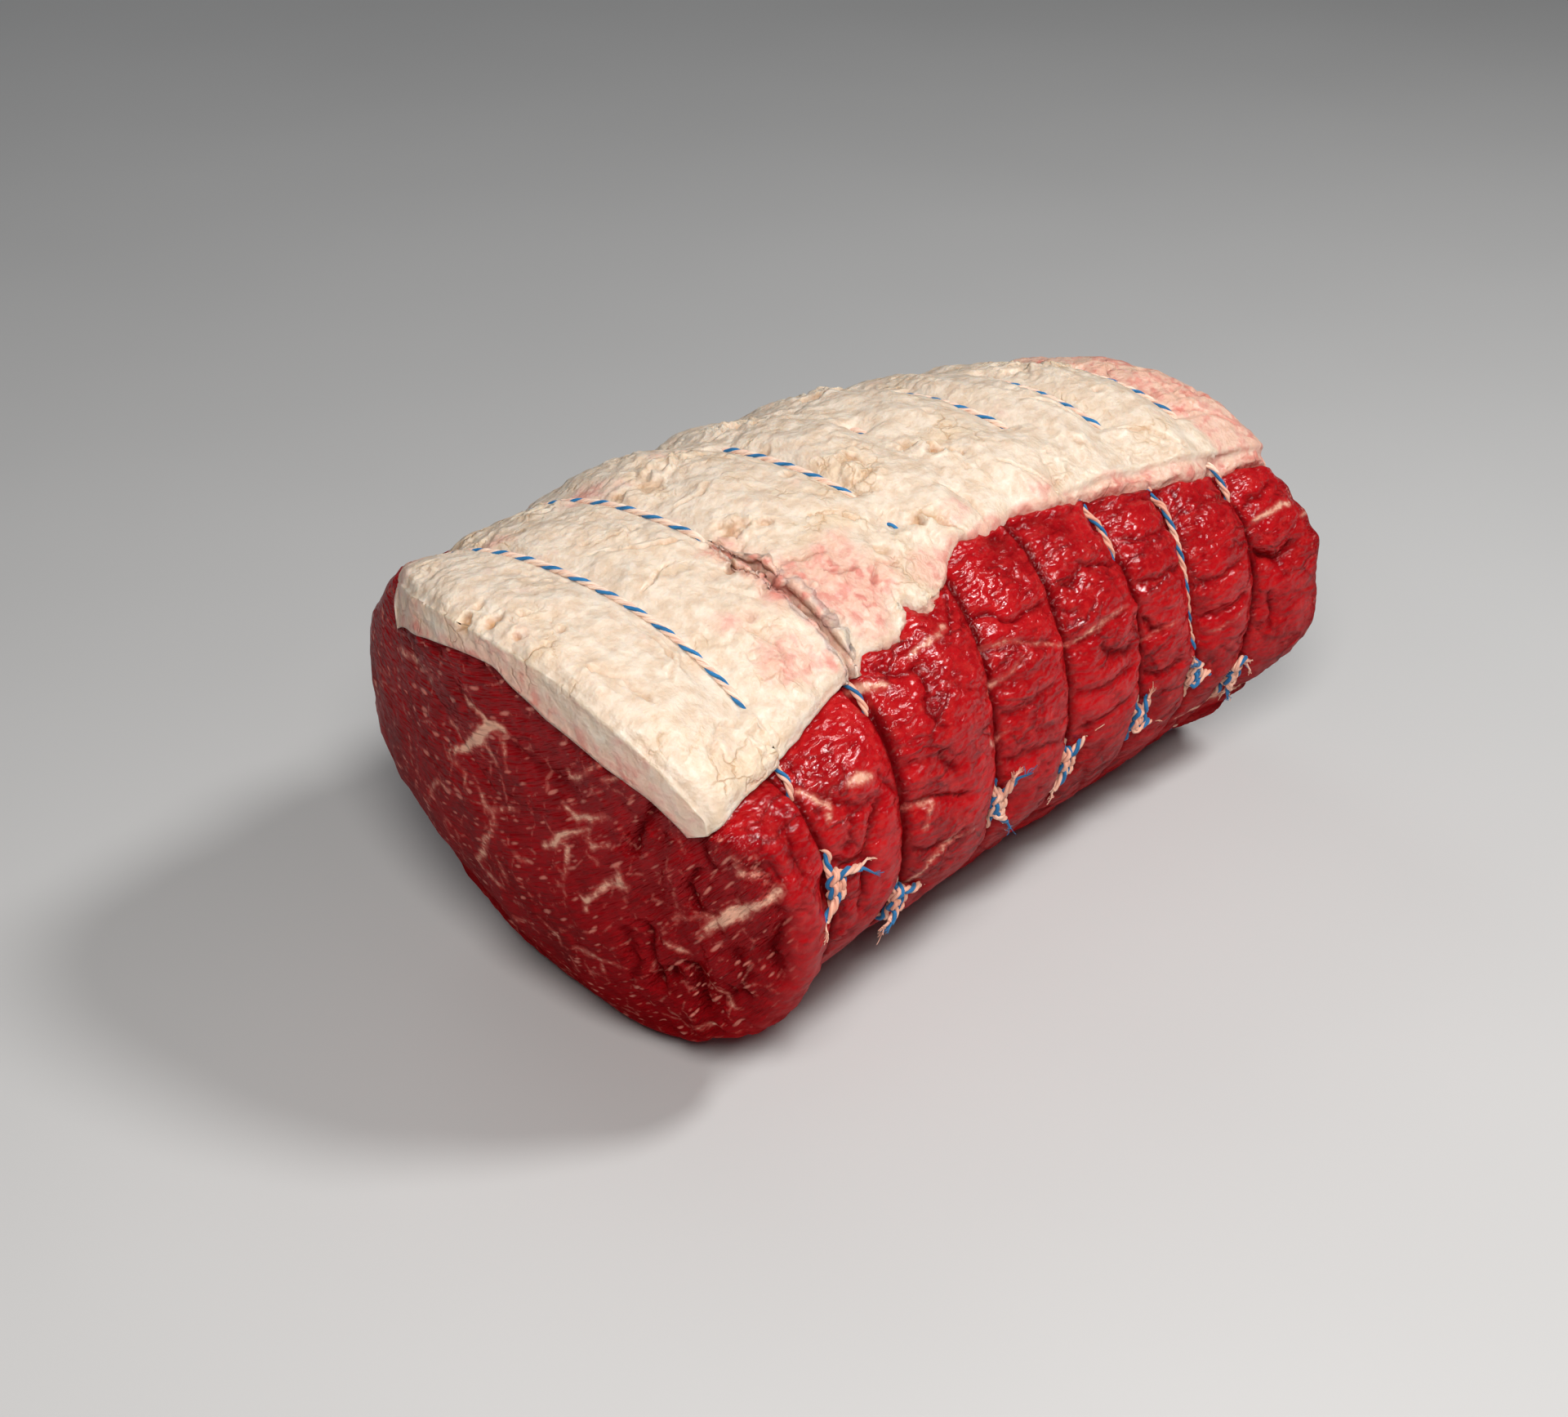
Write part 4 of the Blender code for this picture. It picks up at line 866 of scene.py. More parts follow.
def fat_row(row, share, drop):
    """One row of points across a sheet: share goes from edge to edge, drop from top to underside.
    A row is its lobe, how far along it, how far into the crack's edge, and its own drop."""
    lobe, q, at_crack, row_drop = row
    side = 1 if lobe > CRACK_STRING else -1

    def fat_lobe_x(angle):
        start = near_rim(angle) - FAT_PROUD
        if lobe > 0:
            start = string_x(lobe - 1, angle) + GROOVE_HALF
        end = FAR_RIM_X + 0 * angle
        if lobe < LAST_LOBE:
            end = string_x(lobe, angle) - GROOVE_HALF
        return start + (end - start) * q

    left = fat_edges(fat_lobe_x(NEAR_LEFT_EDGE + 0 * share))[0]
    right = fat_edges(fat_lobe_x(NEAR_RIGHT_EDGE + 0 * share))[1]
    drop = np.maximum(drop, row_drop)
    angle = left + (right - left) * share
    x = fat_lobe_x(angle)
    swell = swell_at(lobe, q, FAT_LOBE_POWER, FAT_LOBE_FULLNESS) + 0 * angle
    if q < 0.5 and lobe > 0:
        swell = np.maximum(swell, covered(lobe - 1, angle))
    if q > 0.5 and lobe < LAST_LOBE:
        swell = np.maximum(swell, covered(lobe, angle))
    radius = string_radius(x, angle) - GROOVE_DEPTH * (1 - swell) + FAT_SWELL[lobe] * swell
    radius = radius - rounding(x, angle)
    if at_crack is not None:
        opening = ease(CRACK_START, CRACK_FULL, angle)
        spots = np.stack([angle * MM_PER_DEGREE, 0 * x, 40 * side + 0 * x], -1)
        tatter = lumpy(spots, (2.6, 7, 71), (1.6, 2.6, 72)) + lumpy(spots + 7 * row_drop, (1.4, 3.0, 73))
        half = CRACK_HALF[side] * (1 - CRACK_CLOSES_BY * ease(*CRACK_CLOSES, angle))
        away = (CRACK_LEAST + (half + TATTERED[side] * tatter) * opening) * (1 - CRACK_TAPERS * row_drop)
        away = away + (1 - at_crack) * (GROOVE_HALF + GROOVE_OPENS * opening)
        x = string_x(CRACK_STRING, angle) + side * np.maximum(away, CRACK_LEAST)
    under = underside_of_fat(x, angle, left, right) - FAT_BELOW
    from_edge = np.radians(np.minimum(angle - left, right - angle)) * radius
    thins = through(KNIFE_EDGE, x) * (radius - under) * np.exp(-(from_edge / KNIFE_EDGE_WIDE) ** 2)
    top = radius
    radius = radius - thins - (radius - thins - under) * drop
    if lobe == 0:
        x = x - before_rim(angle, radius / top) * (1 - q) ** RIM_RUNS_OUT
    return place(x, angle, radius), drop, angle


def fat_rows(first_lobe, last_lobe):
    """Rows over the top of a sheet, down its end, back along its underside and up again."""
    top = []
    for lobe in range(first_lobe, last_lobe + 1):
        start, end = lobe_ends(lobe, np.array([120.0]))
        steps = np.linspace(0, 1, round((end[0] - start[0]) / FAT_ROW_EVERY))
        top += [(lobe, q, None, 0.0) for q in steps]
    near_edge = [(first_lobe, 0.0, None, drop) for drop in FRONT_EDGE_STEPS]
    far_edge = [(last_lobe, 1.0, None, drop) for drop in EDGE_STEPS]
    if first_lobe > 0:
        top = [(first_lobe, 0.0, 1 - k / 4, 0.0) for k in range(4)] + top
        near_edge = [(first_lobe, 0.0, 1.0, drop) for drop in FRONT_EDGE_STEPS[1::2]]
    if last_lobe < LAST_LOBE:
        top = top + [(last_lobe, 1.0, k / 4, 0.0) for k in range(1, 5)]
        far_edge = [(last_lobe, 1.0, 1.0, drop) for drop in FRONT_EDGE_STEPS[1::2]]
    under = []
    for lobe in range(last_lobe, first_lobe - 1, -1):
        under += [(lobe, q, None, 1.0) for q in (0.8, 0.6, 0.4, 0.2)]
    return top + far_edge + under + near_edge[::-1]


def from_right_edge(x, angle):
    return (through(FAT_RIGHT, x) - angle) * MM_PER_DEGREE


def stained(x, angle):
    """How pink blood has made the fat: in patches, by the crack and along the right edge."""
    share = 0 * x
    for stain_x, stain_angle, size, strength in STAINS:
        away = np.hypot(x - stain_x, (angle - stain_angle) * MM_PER_DEGREE) / size
        share = np.maximum(share, strength * np.exp(-(away / STAIN_CORE) ** 3))
    in_band = ease(1.25, 0.5, from_right_edge(x, angle) / through(PINK_BAND, x))
    share = np.maximum(share, through(BAND_STRENGTH, x) * in_band)
    from_left = (angle - through(FAT_LEFT, x)) * MM_PER_DEGREE
    share = np.maximum(share, LEFT_PINK * ease(*LEFT_PINK_WIDE, from_left))
    from_crack = np.abs(x - string_x(CRACK_STRING, angle))
    by_crack = np.exp(-(from_crack / CRACK_STAIN) ** 2) * ease(*CRACK_TORN_FROM, angle)
    by_crack = by_crack * (1 - 0.2 * ease(130, 140, angle))
    share = np.maximum(share, FAR_LOBE_PINK * ease(-1.0, 3.0, x - string_x(LAST_LOBE - 1, angle)))
    return np.maximum(share, by_crack)


def make_sheet(name, first_lobe, last_lobe, material, *nodes):
    """One sheet of the fat over some of the lobes, with the relief and the stains on it."""
    share = np.linspace(0, 1, round(FAT_SPAN * MM_PER_DEGREE / FAT_COLUMN_EVERY))
    drop = np.concatenate([LEFT_WALL, 0 * share, RIGHT_WALL])
    share = np.concatenate([np.zeros(len(LEFT_WALL)), share, np.ones(len(RIGHT_WALL))])
    made = [fat_row(row, share, drop) for row in fat_rows(first_lobe, last_lobe)]
    grid, drops, angles = (np.array([row[k] for row in made]) for k in range(3))
    out = outward(grid, True, False)
    x = grid[..., 0]
    u, v = (start + lumpy(grid, (1.0, 4, seed), (0.5, 1.8, seed + 1))
            for start, seed in ((x, 81), (angles * MM_PER_DEGREE, 83)))
    hollow = 0 * x
    relief = lumpy(grid, (1.1, 20, 85), (0.9, (7, 10, 10), 86), (0.18, 1.6, 89))
    relief += pebbly(grid, (0.5, (7, 5, 5), 87))
    relief += lumpy(grid, (0.5, (5, 3, 3), 88)) * ease(0.05, 0.2, drops) * (x < NEAR_END)
    # The knife leaves the fat in flakes, each tilted its own way, with thin cracks between them, painted
    # darker as shade.
    flaky = FLAKES_ELSEWHERE * np.clip(0.4 + 1.2 * field(grid, 16, 95), 0, 1)
    for flake_x, flake_angle, size, high in FLAKES:
        away = np.hypot(u - flake_x, v - flake_angle * MM_PER_DEGREE) / size
        flaky = np.maximum(flaky, high * np.exp(-away ** 2))
    warped = bent(grid, 2.2, 5, 91)
    for size in (2.2 * FLAKE_SIZE, FLAKE_SIZE):
        middle, edge, tilt = cells(warped, (size, 0.75 * size, 0.75 * size), 94)
        relief += flaky * (0.55 * tilt - 0.3 * np.exp(-edge / 0.08))
        hollow = np.maximum(hollow, 0.16 * np.exp(-edge / 0.09) * np.clip(flaky, 0, 1))
    # A pit has a low rim and is painted tan inside, a painted shade. A tear has a flap on one side and is
    # painted darker along it as shade.
    for pit_x, pit_angle, size, depth in PITS:
        away = np.hypot(u - pit_x, v - pit_angle * MM_PER_DEGREE) / size + lumpy(grid, (0.5, 2.0, 90))
        pit = (1 - ease(0.3, 0.8, away)) * (1 - ease(0.1, 0.35, drops))
        relief += 0.75 * depth * (0.25 * np.exp(-((away - 1.05) / 0.25) ** 2) - pit)
        hollow = np.maximum(hollow, pit * min(depth / 2.4, 1))
    for depth, half, *line in TEARS:
        line = [(a, degrees * MM_PER_DEGREE) for a, degrees in line]
        away, along = from_line(u, v, line)
        (a, b), (c, d) = line[0], line[-1]
        one_side = ((v - b) * (c - a) - (u - a) * (d - b)) > 0
        within = ease(0, 0.12, along) * (1 - ease(0.88, 1, along))
        tear = np.exp(-(away / half) ** 2) * within
        relief += depth * (0.75 * np.exp(-away / (4.5 * half)) * within * one_side - tear)
        hollow = np.maximum(hollow, tear * min(depth / 2.2, 1))
    # All of it fades into the grooves, down the sheet's edges and where the knife has cut clean.
    in_crack = ease(*CRACK_TORN_FROM, angles)
    groove = np.min([np.abs(x - string_x(i, angles)) + 4 * covered(i, angles)
                     + 4 * in_crack * (i == CRACK_STRING) for i in range(LAST_LOBE)], 0)
    edges = 1 - 0.5 * ease(0, 0.15, drops)
    relief *= (0.15 + 0.85 * ease(0.8, 3.4, groove)) * edges * (1 - ease(0.8, 1.0, drops))
    to_edge = from_right_edge(x, angles)
    clean_cut = (1 - ease(54, 62, x)) * (1 - ease(0.5, 3.5, to_edge))
    relief *= 1 - 0.75 * clean_cut
    bevel = ease(*BEVEL_FROM, x) * ease(1.0, 0.82, to_edge / through(PINK_BAND, x))
    relief -= BEVEL_DEPTH * bevel * (1 - ease(0, 0.3, drops))
    grid = grid + out * relief[..., None]
    # Blood has soaked into the walls of its edges, and the crack is painted dark down inside, a painted
    # shade.
    near_wall = 0.42 * ease(0, 0.1, drops) + 0.5 * ease(0.4, 1.0, drops)
    pink = np.maximum(stained(x, angles), np.where(x < NEAR_END, near_wall, ease(0.1, 0.9, drops)))
    crack_wall = ease(0.05, 0.5, drops) * np.exp(-(np.abs(x - string_x(CRACK_STRING, angles)) / 5) ** 2)
    crack_wall = crack_wall * ease(100, 107, angles) * (1 - 0.85 * ease(121, 130, angles))
    hollow = np.maximum(hollow, 0.8 * crack_wall)
    piece = make_piece(name, grid, grid_faces(*grid.shape[:2], True, False), [material])
    paint(piece, "hollow", hollow)
    paint(piece, "pink", pink)
    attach(piece, "root")
    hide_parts(*nodes)


# Raw beef suet, trimmed with a knife: waxy, IOR of fat. It gives a cream that light sinks into, with a dull
# sheen, pink with red threads where blood has soaked in. Its pits, tears and cracks are painted tan inside,
# a painted shade.
suet, add = new_material("raw_beef_suet")
spot = add("TexCoord", out="Object")
hollow_shade_share = add("Attribute", out="Fac", attribute_name="hollow")
pink_share = add("Attribute", out="Fac", attribute_name="pink")
patches = add("TexNoise", {"Vector": spot, "Scale": per_mm(11), "Detail": 5.0})
lumps = add("TexNoise", {"Vector": spot, "Scale": per_mm(3.6), "Detail": 3.0, "Roughness": 0.5})
stains = add("TexNoise", {"Vector": spot, "Scale": per_mm(20), "Detail": 5.0, "Roughness": 0.6,
                          "Distortion": 0.4})
flaky = add("MapRange", {"Value": lumps, "From Min": 0.36, "From Max": 0.62})
cream = add("Mix", {"Factor": flaky, "A": linear("#d8c2ac"), "B": linear("#e5d6c5")}, data_type="RGBA")
tan = add("MapRange", {"Value": stains, "From Min": 0.52, "From Max": 0.7, "To Max": 0.5})
# Thin cracks between the grains of fat, which come and go, painted a darker tan as the shade down in them.
crack_bent = spot
for share, waves in ((0.009, patches), (0.003, lumps)):
    crack_bent = add("Mix", {"Factor": share, "A": crack_bent, "B": waves.node.outputs["Color"]},
                     data_type="VECTOR")
cracks = add("TexVoronoi", {"Vector": crack_bent, "Scale": per_mm(8)}, feature="DISTANCE_TO_EDGE")
cracks = add("MapRange", {"Value": cracks, "From Min": 0.055, "From Max": 0.0})
crack_patch = add("MapRange", {"Value": stains, "From Min": 0.53, "From Max": 0.64})
cracks = add("Math", {0: cracks, 1: crack_patch}, operation="MULTIPLY")
# Blood has soaked in unevenly, with darker threads between the grains.
uneven = add("Math", {0: patches, 1: 1.7, 2: -0.85}, operation="MULTIPLY_ADD")
blood = add("Math", {0: pink_share, 1: uneven}, operation="ADD")
blood = add("MapRange", {"Value": blood, "From Min": 0.22, "From Max": 1.0})
threads = add("TexVoronoi", {"Vector": spot, "Scale": per_mm(5)}, feature="DISTANCE_TO_EDGE")
threads = add("Math", {0: threads, 1: lumps, 2: 0.35}, operation="MULTIPLY_ADD")
threads = add("Math", {0: lumps, 1: threads}, operation="SUBTRACT")
threads = add("MapRange", {"Value": threads, "From Min": 0.06, "From Max": 0.2, "To Max": 0.8})
threads = add("Math", {0: threads, 1: blood}, operation="MULTIPLY")
crack_shade, blush, pit_shade = (
    add("Math", {0: share, 1: most}, operation="MULTIPLY")
    for share, most in ((cracks, 0.5), (blood, 0.8), (hollow_shade_share, 0.85)))
# Pits, tears and the crack are painted tan inside as shade, and browner where blood has soaked in, which is
# a real stain.
pit_shade_colour = add("Mix", {"Factor": blood, "A": linear("#b98450"), "B": linear("#8e3d2c")}, data_type="RGBA")
for share, tone in ((tan, linear("#dfc3a0")), (crack_shade, linear("#c79a6c")), (blush, linear("#e2ad9b")),
                    (threads, linear("#d07a6e")), (pit_shade, pit_shade_colour)):
    cream = add("Mix", {"Factor": share, "A": cream, "B": tone}, data_type="RGBA")
waxy = add("MapRange", {"Value": lumps, "From Min": 0.3, "From Max": 0.7, "To Min": 0.42, "To Max": 0.6})
grainy = add("TexNoise", {"Vector": spot, "Scale": per_mm(0.9), "Detail": 3.0})
fine = lumps
for pattern, high in ((grainy, 0.18), (cracks, -0.45)):
    fine = add("Math", {0: pattern, 1: high, 2: fine}, operation="MULTIPLY_ADD")
bump = add("Bump", {"Height": fine, "Distance": 0.001, "Strength": 0.7})
surface = add("BsdfPrincipled", {
    "Base Color": cream, "Roughness": waxy, "Normal": bump, "IOR": 1.45,
    "Subsurface Weight": 0.45, "Subsurface Radius": (1.0, 0.7, 0.5), "Subsurface Scale": 0.003,
    "Coat Weight": 0.2, "Coat Roughness": 0.3})
add("OutputMaterial", {"Surface": surface})

make_sheet("front_fat", 0, CRACK_STRING, suet, "fat_front")
make_sheet("rear_fat", CRACK_STRING + 1, LAST_LOBE, suet, "fat_rear")


# The strings: butcher's twine of three twisted cotton plies, one of them dyed blue, tied round
# the joint with a knot each. Where they lie on the meat the pale plies have soaked up its blood.
TWIST_PITCH = -8.4                          # below 0 for a left-hand twist
PLY_RADIUS, PLY_OFFSET = 0.47, 0.43         # each ply's own, and how far it is from the middle
PATH_EVERY, PLY_SIDES = 0.6, 7
STRING_SINKS, STRING_RISES = 5.5, (-4.0, 5.0)       # into the open crack, and out where it closes
STRING_TIGHT, UNDER_COVER = 3.0, 2.0        # how far it sinks between closed lobes, and under fat
KNOT_STANDS_OFF = 3.0
KNOT_SLACK = 0.16                           # how much the plies open up in the knots
PLY_END, PLY_END_SPREAD = 2.4, 0.45         # each ply's own loose end, and how far they part
HAIRS, HAIR_RADIUS, HAIR_LENGTH = 7, 0.1, 2.0
STAINED_ON_FAT, STAINED_ON_MEAT = 0.12, 0.8
# Half a knot from the ring's end to the start of its tail: round the joint, along it, outwards.
HALF_KNOT = (
    (8, 0.1, -2.4), (5.4, 0.5, -2), (3.2, 0.9, -1), (1.5, 0.9, 0.1), (0, 1.3, 0.9), (-1.5, 1.7, 0.1),
    (-2.7, 1, -0.9), (-3.1, 0, 0), (-2.7, -1, 0.9), (-1.4, -1.7, -0.1), (0, -1.2, -0.9), (1.4, -0.8, 0),
    (2.8, -0.9, 0.8),
)
# Each knot's two tails, from the knot to their ends: round the joint (down), along it, outwards.
TAILS = (
    (((4.5, -2.5, 0.8), (7.0, -4.6, 0.2)), ((-2.0, 4.6, 1.0), (-1.0, 7.6, 0.8))),
    (((3.6, -1.6, 1.4), (4.6, -3.2, 1.6)), ((-1.0, 4.6, 1.0), (-0.6, 7.4, 0.5))),
    (((4.6, 1.8, 0.9), (7.4, 4.4, 0.3)), ((-4.8, 0.6, 1.8), (-7.4, 1.6, 2.4))),
    (((4.4, -2.2, 0.8), (6.2, -4.6, 0.4)), ((-4.0, 2.4, 1.0), (-6.4, 4.8, 0.8))),
    (((2.6, 3.6, 0.8), (3.8, 6.4, 0.4)), ((-4.4, 0.8, 1.0), (-6.6, 1.4, 0.6))),
    (((1.6, 4.6, 0.8), (3.4, 8.4, 0.6), (4.6, 12.6, 0.8)), ((-3.6, -1.2, 1.0), (-4.8, -2.8, 0.8))),
    (((4.4, 0.4, 0.8), (6.6, 1.2, 0.4)), ((-4.6, -3.2, 1.2), (-6.8, -0.6, 1.4), (-4.4, 2.4, 1.4))),
)


def smooth_path(points, every):
    """A smooth curve through points, as points at even distances."""
    points = np.asarray(points, float)
    padded = np.concatenate([2 * points[:1] - points[1:2], points, 2 * points[-1:] - points[-2:-1]])
    fine = []
    for k in range(1, len(padded) - 2):
        a, b, c, d = padded[k - 1:k + 3]
        for s in np.linspace(0, 1, 12, endpoint=False):
            fine.append(0.5 * (2 * b + (c - a) * s + (2 * a - 5 * b + 4 * c - d) * s ** 2
                               + (3 * b - a - 3 * c + d) * s ** 3))
    fine = np.array(fine + [points[-1]])
    run = np.concatenate([[0], np.cumsum(np.linalg.norm(np.diff(fine, axis=0), axis=1))])
    even = np.linspace(0, run[-1], max(round(run[-1] / every), 2) + 1)
    return np.stack([np.interp(even, run, fine[:, k]) for k in range(3)], -1)


def carried_frames(path):
    """Two directions across a path that turn as little as they can."""
    ahead = np.gradient(path, axis=0)
    ahead /= np.linalg.norm(ahead, axis=1, keepdims=True)
    first = np.cross(ahead[0], (0.3, 0.5, 0.8))
    firsts = []
    for step in ahead:
        first = first - step * np.dot(first, step)
        first = first / np.linalg.norm(first)
        firsts.append(first)
    firsts = np.array(firsts)
    return firsts, np.cross(ahead, firsts)


def string_route(i):
    """Points of the whole string: a tail, half of the knot, the ring, the other half, a tail."""
    knot = KNOT_ANGLE[i]
    clear = math.degrees(10.5 / string_radius(STRING_X[i], knot))
    angle = np.arange(knot + clear, knot + 360 - clear, 2.5)
    x = string_x(i, angle)
    radius = string_radius(x, angle) - rounding(x, angle)
    turned = np.mod(angle, 360)
    if i == CRACK_STRING:
        rises_from, rises_to = (CRACK_CLOSES[1] + more for more in STRING_RISES)
        sunk = ease(CRACK_START - 1, CRACK_START + 4, turned) * (1 - ease(rises_from, rises_to, turned))
        radius = radius - STRING_SINKS * sunk
    between_lobes = (1 - shows(i, angle)) * ease(-1, 4, turned - through(FAT_RIGHT, x))
    radius = radius - STRING_TIGHT * between_lobes - UNDER_COVER * covered(i, turned)
    ring = place(x, angle, radius, TWINE_RADIUS + 0.45)
    out = np.array([0.0, math.cos(math.radians(knot)), math.sin(math.radians(knot))])
    round_way = np.array([0.0, -out[2], out[1]])
    along = np.array([1.0, 0.0, 0.0])
    at = np.array([knot])
    centre = place(string_x(i, at), at, string_radius(string_x(i, at), at))[0] + KNOT_STANDS_OFF * out
    first_half = list(HALF_KNOT) + list(TAILS[i][0])
    second_half = [(-a, -b, c) for a, b, c in HALF_KNOT] + list(TAILS[i][1])
    first_half, second_half = [
        [centre + a * round_way + b * along + c * out for a, b, c in half]
        for half in (first_half, second_half)]
    return np.concatenate([first_half[::-1], ring, second_half])


def add_ply(path, across, beside, radius, sides, lay, slot, mesh):
    """Add a ply or a hair as a tube with closed ends. Its lay follows it, for the cotton's fibres."""
    base, count = len(mesh["points"]), len(path)
    turn = 2 * math.pi * np.arange(sides) / sides
    rings = path[:, None] + radius[:, None, None] * (
        np.cos(turn)[None, :, None] * across[:, None] + np.sin(turn)[None, :, None] * beside[:, None])
    new = (np.array(grid_faces(count, sides, False, True)) + base).tolist()
    first_end, last_end = np.arange(sides) + base, np.arange(sides) + base + (count - 1) * sides
    new += [first_end.tolist(), last_end[::-1].tolist()]
    run = lay + np.arange(count)[:, None] * PATH_EVERY
    round_ply = PLY_RADIUS * np.cos(turn)[None], PLY_RADIUS * np.sin(turn)[None]
    fibres = np.stack(np.broadcast_arrays(run, *round_ply), -1)
    mesh["points"] += rings.reshape(-1, 3).tolist()
    mesh["faces"] += new
    mesh["slots"] += [slot] * len(new)
    mesh["lay"] += (fibres.reshape(-1, 3) * 0.001).tolist()


def make_string(i, blue, pale):
    """One string: three plies twisted round its route, with frayed ends."""
    path = smooth_path(string_route(i), PATH_EVERY)
    path[:, 2] = np.maximum(path[:, 2], TWINE_RADIUS + 0.2)
    first, second = carried_frames(path)
    turn = 2 * math.pi * np.arange(len(path)) * PATH_EVERY / TWIST_PITCH
    mesh = {"points": [], "faces": [], "slots": [], "lay": []}
    rng = random.Random(90 + i)
    from_end = np.minimum(np.arange(len(path)), np.arange(len(path))[::-1]) * PATH_EVERY
    in_knot = 1 - ease(26, 34, from_end)
    for ply in range(3):
        slot = 0 if ply == 0 else 1
        phase = turn + 2 * math.pi * ply / 3 + 1.3 * i
        across = np.cos(phase)[:, None] * first + np.sin(phase)[:, None] * second
        beside = -np.sin(phase)[:, None] * first + np.cos(phase)[:, None] * second
        radius = PLY_RADIUS * (1 + 0.06 * np.sin(turn * 2.3 + ply) + 0.04 * np.sin(turn * 5.1 + 2 * ply))
        radius = radius * (1 + KNOT_SLACK * in_knot * (1.6 if ply == 0 else 1.0))
        centre = path + (PLY_OFFSET * (1 + KNOT_SLACK * in_knot))[:, None] * across
        add_ply(centre, across, beside, radius, PLY_SIDES, 500 * i + 60 * ply, slot, mesh)
        for end, ahead in ((0, path[0] - path[2]), (-1, path[-1] - path[-3])):
            ahead = ahead / np.linalg.norm(ahead)
            reach = PLY_END * rng.uniform(0.6, 1.3)
            stray = np.array([rng.gauss(0, 1) for axis in range(3)])
            away = ahead + PLY_END_SPREAD * across[end] + 0.25 * stray
            loose = smooth_path([centre[end] - 0.8 * ahead, centre[end] + 0.3 * reach * ahead,
                                 centre[end] + reach * away], PATH_EVERY)
            one, two = carried_frames(loose)
            thins = PLY_RADIUS * np.linspace(1.0, 0.45, len(loose))
            add_ply(loose, one, two, thins, PLY_SIDES, 30 * i, slot, mesh)
            for k in range(HAIRS):
                spread = np.array([rng.gauss(0, 1) for axis in range(3)])
                tip = loose[-1] + HAIR_LENGTH * rng.uniform(0.3, 1.0) * (ahead + 0.45 * spread)
                bend = loose[-1] + 0.5 * (tip - loose[-1]) + 0.15 * spread[::-1]
                hair = smooth_path([loose[-2] + 0.25 * spread * PLY_RADIUS, bend, tip], PATH_EVERY)
                one, two = carried_frames(hair)
                add_ply(hair, one, two, np.full(len(hair), HAIR_RADIUS), 4, 5 * k, slot, mesh)
    points = np.array(mesh["points"])
    points[:, 2] = np.maximum(points[:, 2], 0.05)
    piece = make_piece(f"twine_{i + 1}", points, mesh["faces"], [blue, pale])
    piece.data.polygons.foreach_set("material_index", mesh["slots"])
    along, around = points[:, 0], round_section(points)[0]
    on_fat = (around > through(FAT_LEFT, along)) & (around < through(FAT_RIGHT, along) - 3)
    paint(piece, "stain", np.where(on_fat, STAINED_ON_FAT, STAINED_ON_MEAT))
    paint(piece, "lay", mesh["lay"])
    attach(piece, "root")
    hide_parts(f"string_{i + 1}")


def cotton(name, dry, soaked, shade):
    """Spun cotton, matt and a little fuzzy, its fibres along each ply. They are drawn about
    0.4 mm across, coarser than life, to show."""
    material, add = new_material(name)
    lay = add("Attribute", out="Vector", attribute_name="lay")
    spot = add("TexCoord", out="Object")
    stain = add("Attribute", out="Fac", attribute_name="stain")
    blots = add("TexNoise", {"Vector": spot, "Scale": per_mm(6), "Detail": 4.0})
    drawn_out = add("Mapping", {"Vector": lay, "Scale": (0.12, 1.0, 1.0)})
    fibres = add("TexNoise", {"Vector": drawn_out, "Scale": per_mm(0.5), "Detail": 3.0})
    wet = add("Math", {0: blots, 1: 1.2, 2: -0.6}, operation="MULTIPLY_ADD")
    wet = add("Math", {0: wet, 1: stain}, operation="ADD")
    wet = add("MapRange", {"Value": wet, "From Min": 0.15, "From Max": 0.95})
    colour = add("Mix", {"Factor": wet, "A": linear(dry), "B": linear(soaked)}, data_type="RGBA")
    dark = add("MapRange", {"Value": fibres, "From Min": 0.56, "From Max": 0.36, "To Max": 0.5})
    colour = add("Mix", {"Factor": dark, "A": colour, "B": linear(shade)}, data_type="RGBA")
    bump = add("Bump", {"Height": fibres, "Distance": 0.00025, "Strength": 0.5})
    surface = add("BsdfPrincipled", {
        "Base Color": colour, "Roughness": 0.7, "Normal": bump, "IOR": 1.5, "Specular IOR Level": 0.35,
        "Sheen Weight": 0.15, "Sheen Roughness": 0.5})
    add("OutputMaterial", {"Surface": surface})
    return material


blue_cotton = cotton("blue_cotton_ply", "#1f79b6", "#16679c", "#0f3d5e")
pale_cotton = cotton("natural_cotton_ply", "#f4dcc9", "#e3a58c", "#c8806c")
for number in range(LAST_LOBE):
    make_string(number, blue_cotton, pale_cotton)


# The table: a plain pale worktop of matt laminate that the joint lies on, wide enough to fill
# the picture. Soft studio light falls on it from the upper left, the right and the back.
floor_mesh = bpy.data.meshes.new("table")
floor_mesh.from_pydata([(-3, -3, 0), (3, -3, 0), (3, 3, 0), (-3, 3, 0)], [], [(0, 1, 2, 3)])
floor_piece = bpy.data.objects.new("table", floor_mesh)
bpy.context.scene.collection.objects.link(floor_piece)
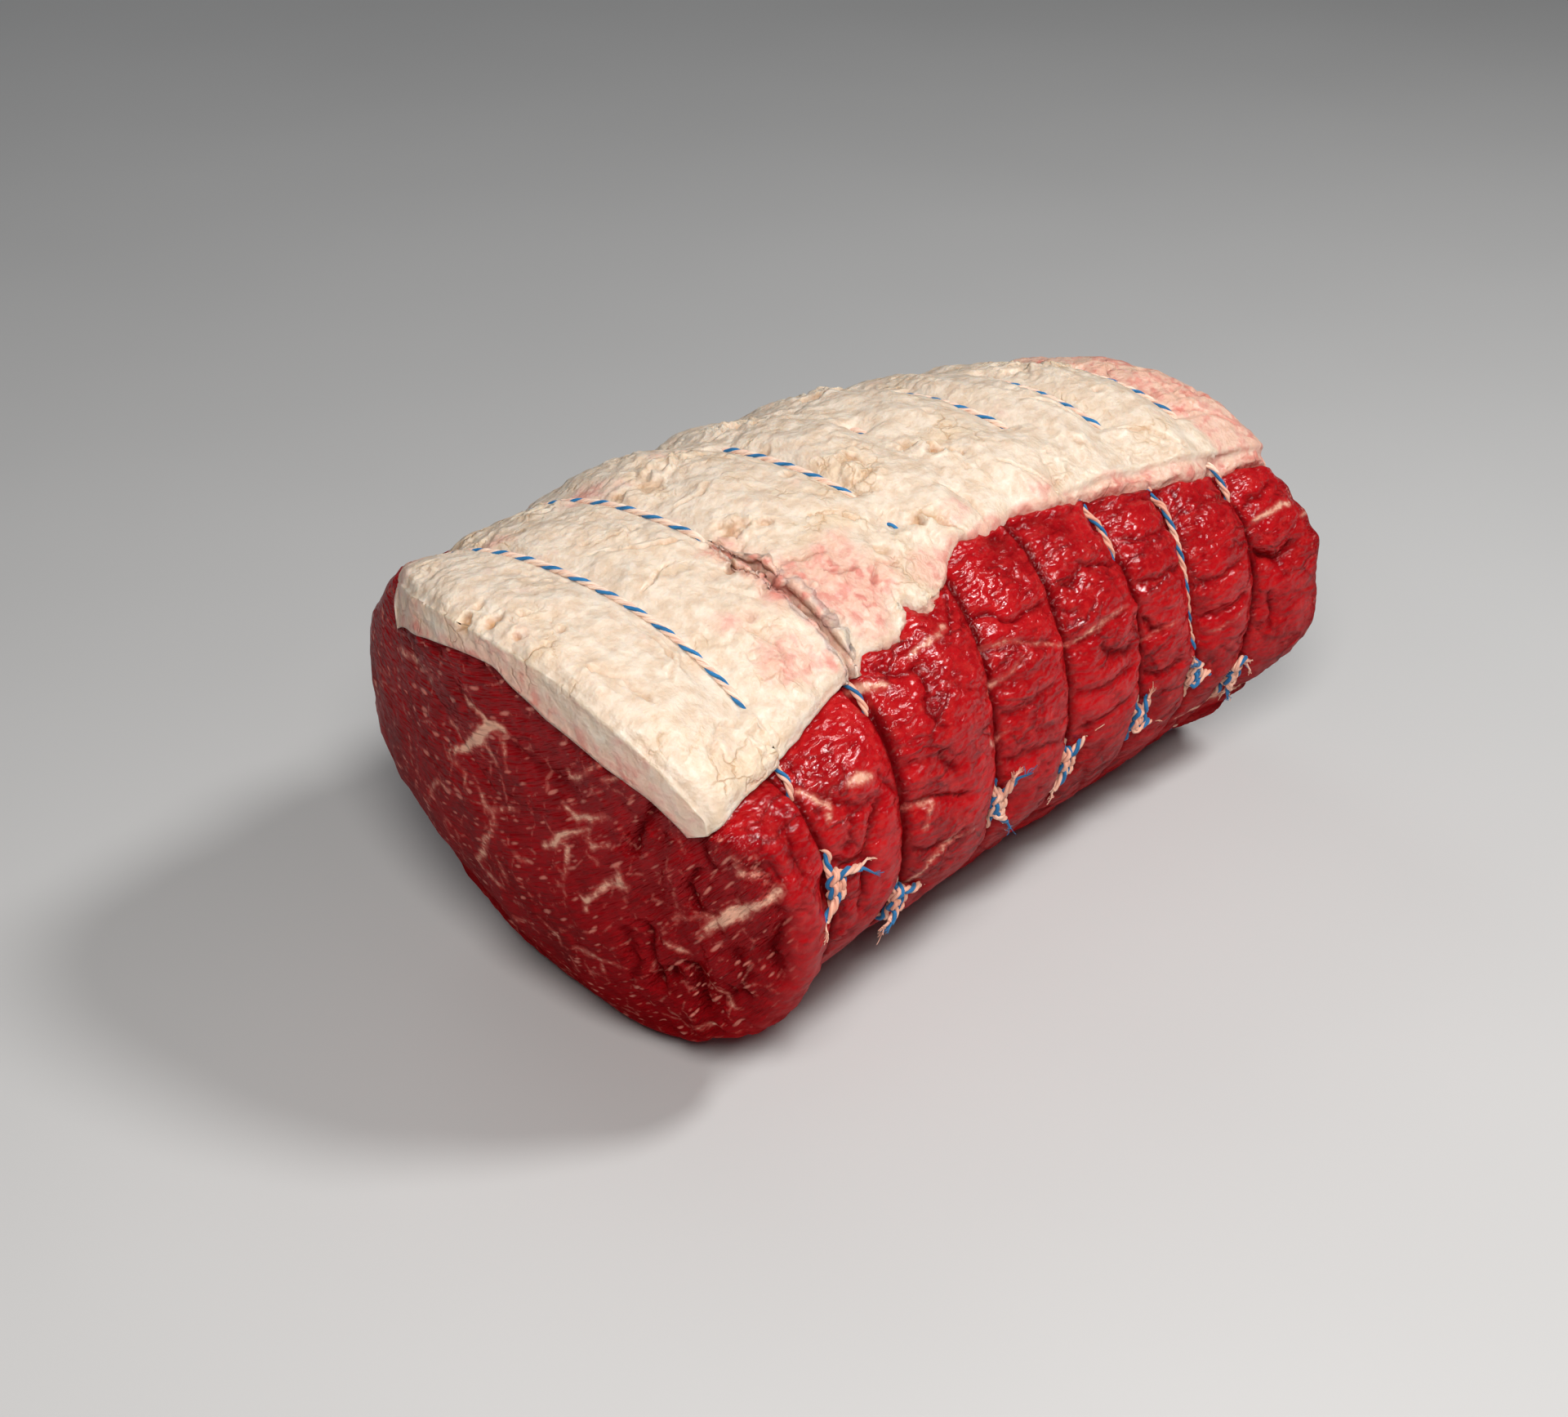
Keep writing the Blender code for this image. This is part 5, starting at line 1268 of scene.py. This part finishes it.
# Matt laminate, smooth and pale, with a faint cloudiness that keeps it from looking empty.
laminate, add = new_material("matt_laminate")
spot = add("TexCoord", out="Object")
cloudy = add("TexNoise", {"Vector": spot, "Scale": per_mm(180), "Detail": 2.0})
grey = add("Mix", {"Factor": cloudy, "A": linear("#c4c5c6"), "B": linear("#cccdce")}, data_type="RGBA")
surface = add("BsdfPrincipled", {"Base Color": grey, "Roughness": 0.65})
add("OutputMaterial", {"Surface": surface})
floor_mesh.materials.append(laminate)

MIDDLE = Vector((0.0, 0.0, 0.05))


def soft_light(name, direction, distance, size, power, colour):
    data = bpy.data.lights.new(name, "AREA")
    data.shape, data.size, data.energy = "DISK", size, power
    data.color = linear(colour)[:3]
    light = bpy.data.objects.new(name, data)
    light.location = MIDDLE + Vector(direction).normalized() * distance
    light.rotation_euler = (light.location - MIDDLE).to_track_quat("Z", "Y").to_euler()
    bpy.context.scene.collection.objects.link(light)


soft_light("key", (-0.66, -0.52, 0.8), 0.85, 0.3, 5.2, "#fffaf5")
soft_light("side", (0.4, -0.62, 0.95), 1.0, 0.2, 6.2, "#fffdfa")
soft_light("back", (0.3, 1.0, 0.9), 1.5, 0.8, 1.5, "#ffffff")
world = bpy.data.worlds.new("studio")
world.use_nodes = True
world.node_tree.nodes["Background"].inputs["Color"].default_value = linear("#dfe4ea")
world.node_tree.nodes["Background"].inputs["Strength"].default_value = 0.08
bpy.context.scene.world = world
bpy.context.scene.view_settings.view_transform = "Standard"

# The camera looks at the near face and the knots from above, as the joint was photographed.
AZIMUTH, ELEVATION = math.radians(-50.83), math.radians(31.06)
AIM = (np.array([106.397, -5.747, 44.74]) - ORIGIN) * 0.001
DISTANCE, FOCAL_PIXELS, PICTURE_WIDTH = 0.63133, 2999, 1920
back = Vector((math.sin(AZIMUTH) * math.cos(ELEVATION), -math.cos(AZIMUTH) * math.cos(ELEVATION),
               math.sin(ELEVATION)))
camera_data = bpy.data.cameras.new("camera")
camera_data.sensor_width = 36.0
camera_data.lens = FOCAL_PIXELS / PICTURE_WIDTH * camera_data.sensor_width
camera = bpy.data.objects.new("camera", camera_data)
camera.location = Vector(AIM) + back * DISTANCE
camera.rotation_euler = back.to_track_quat("Z", "Y").to_euler()
bpy.context.scene.collection.objects.link(camera)
bpy.context.scene.camera = camera
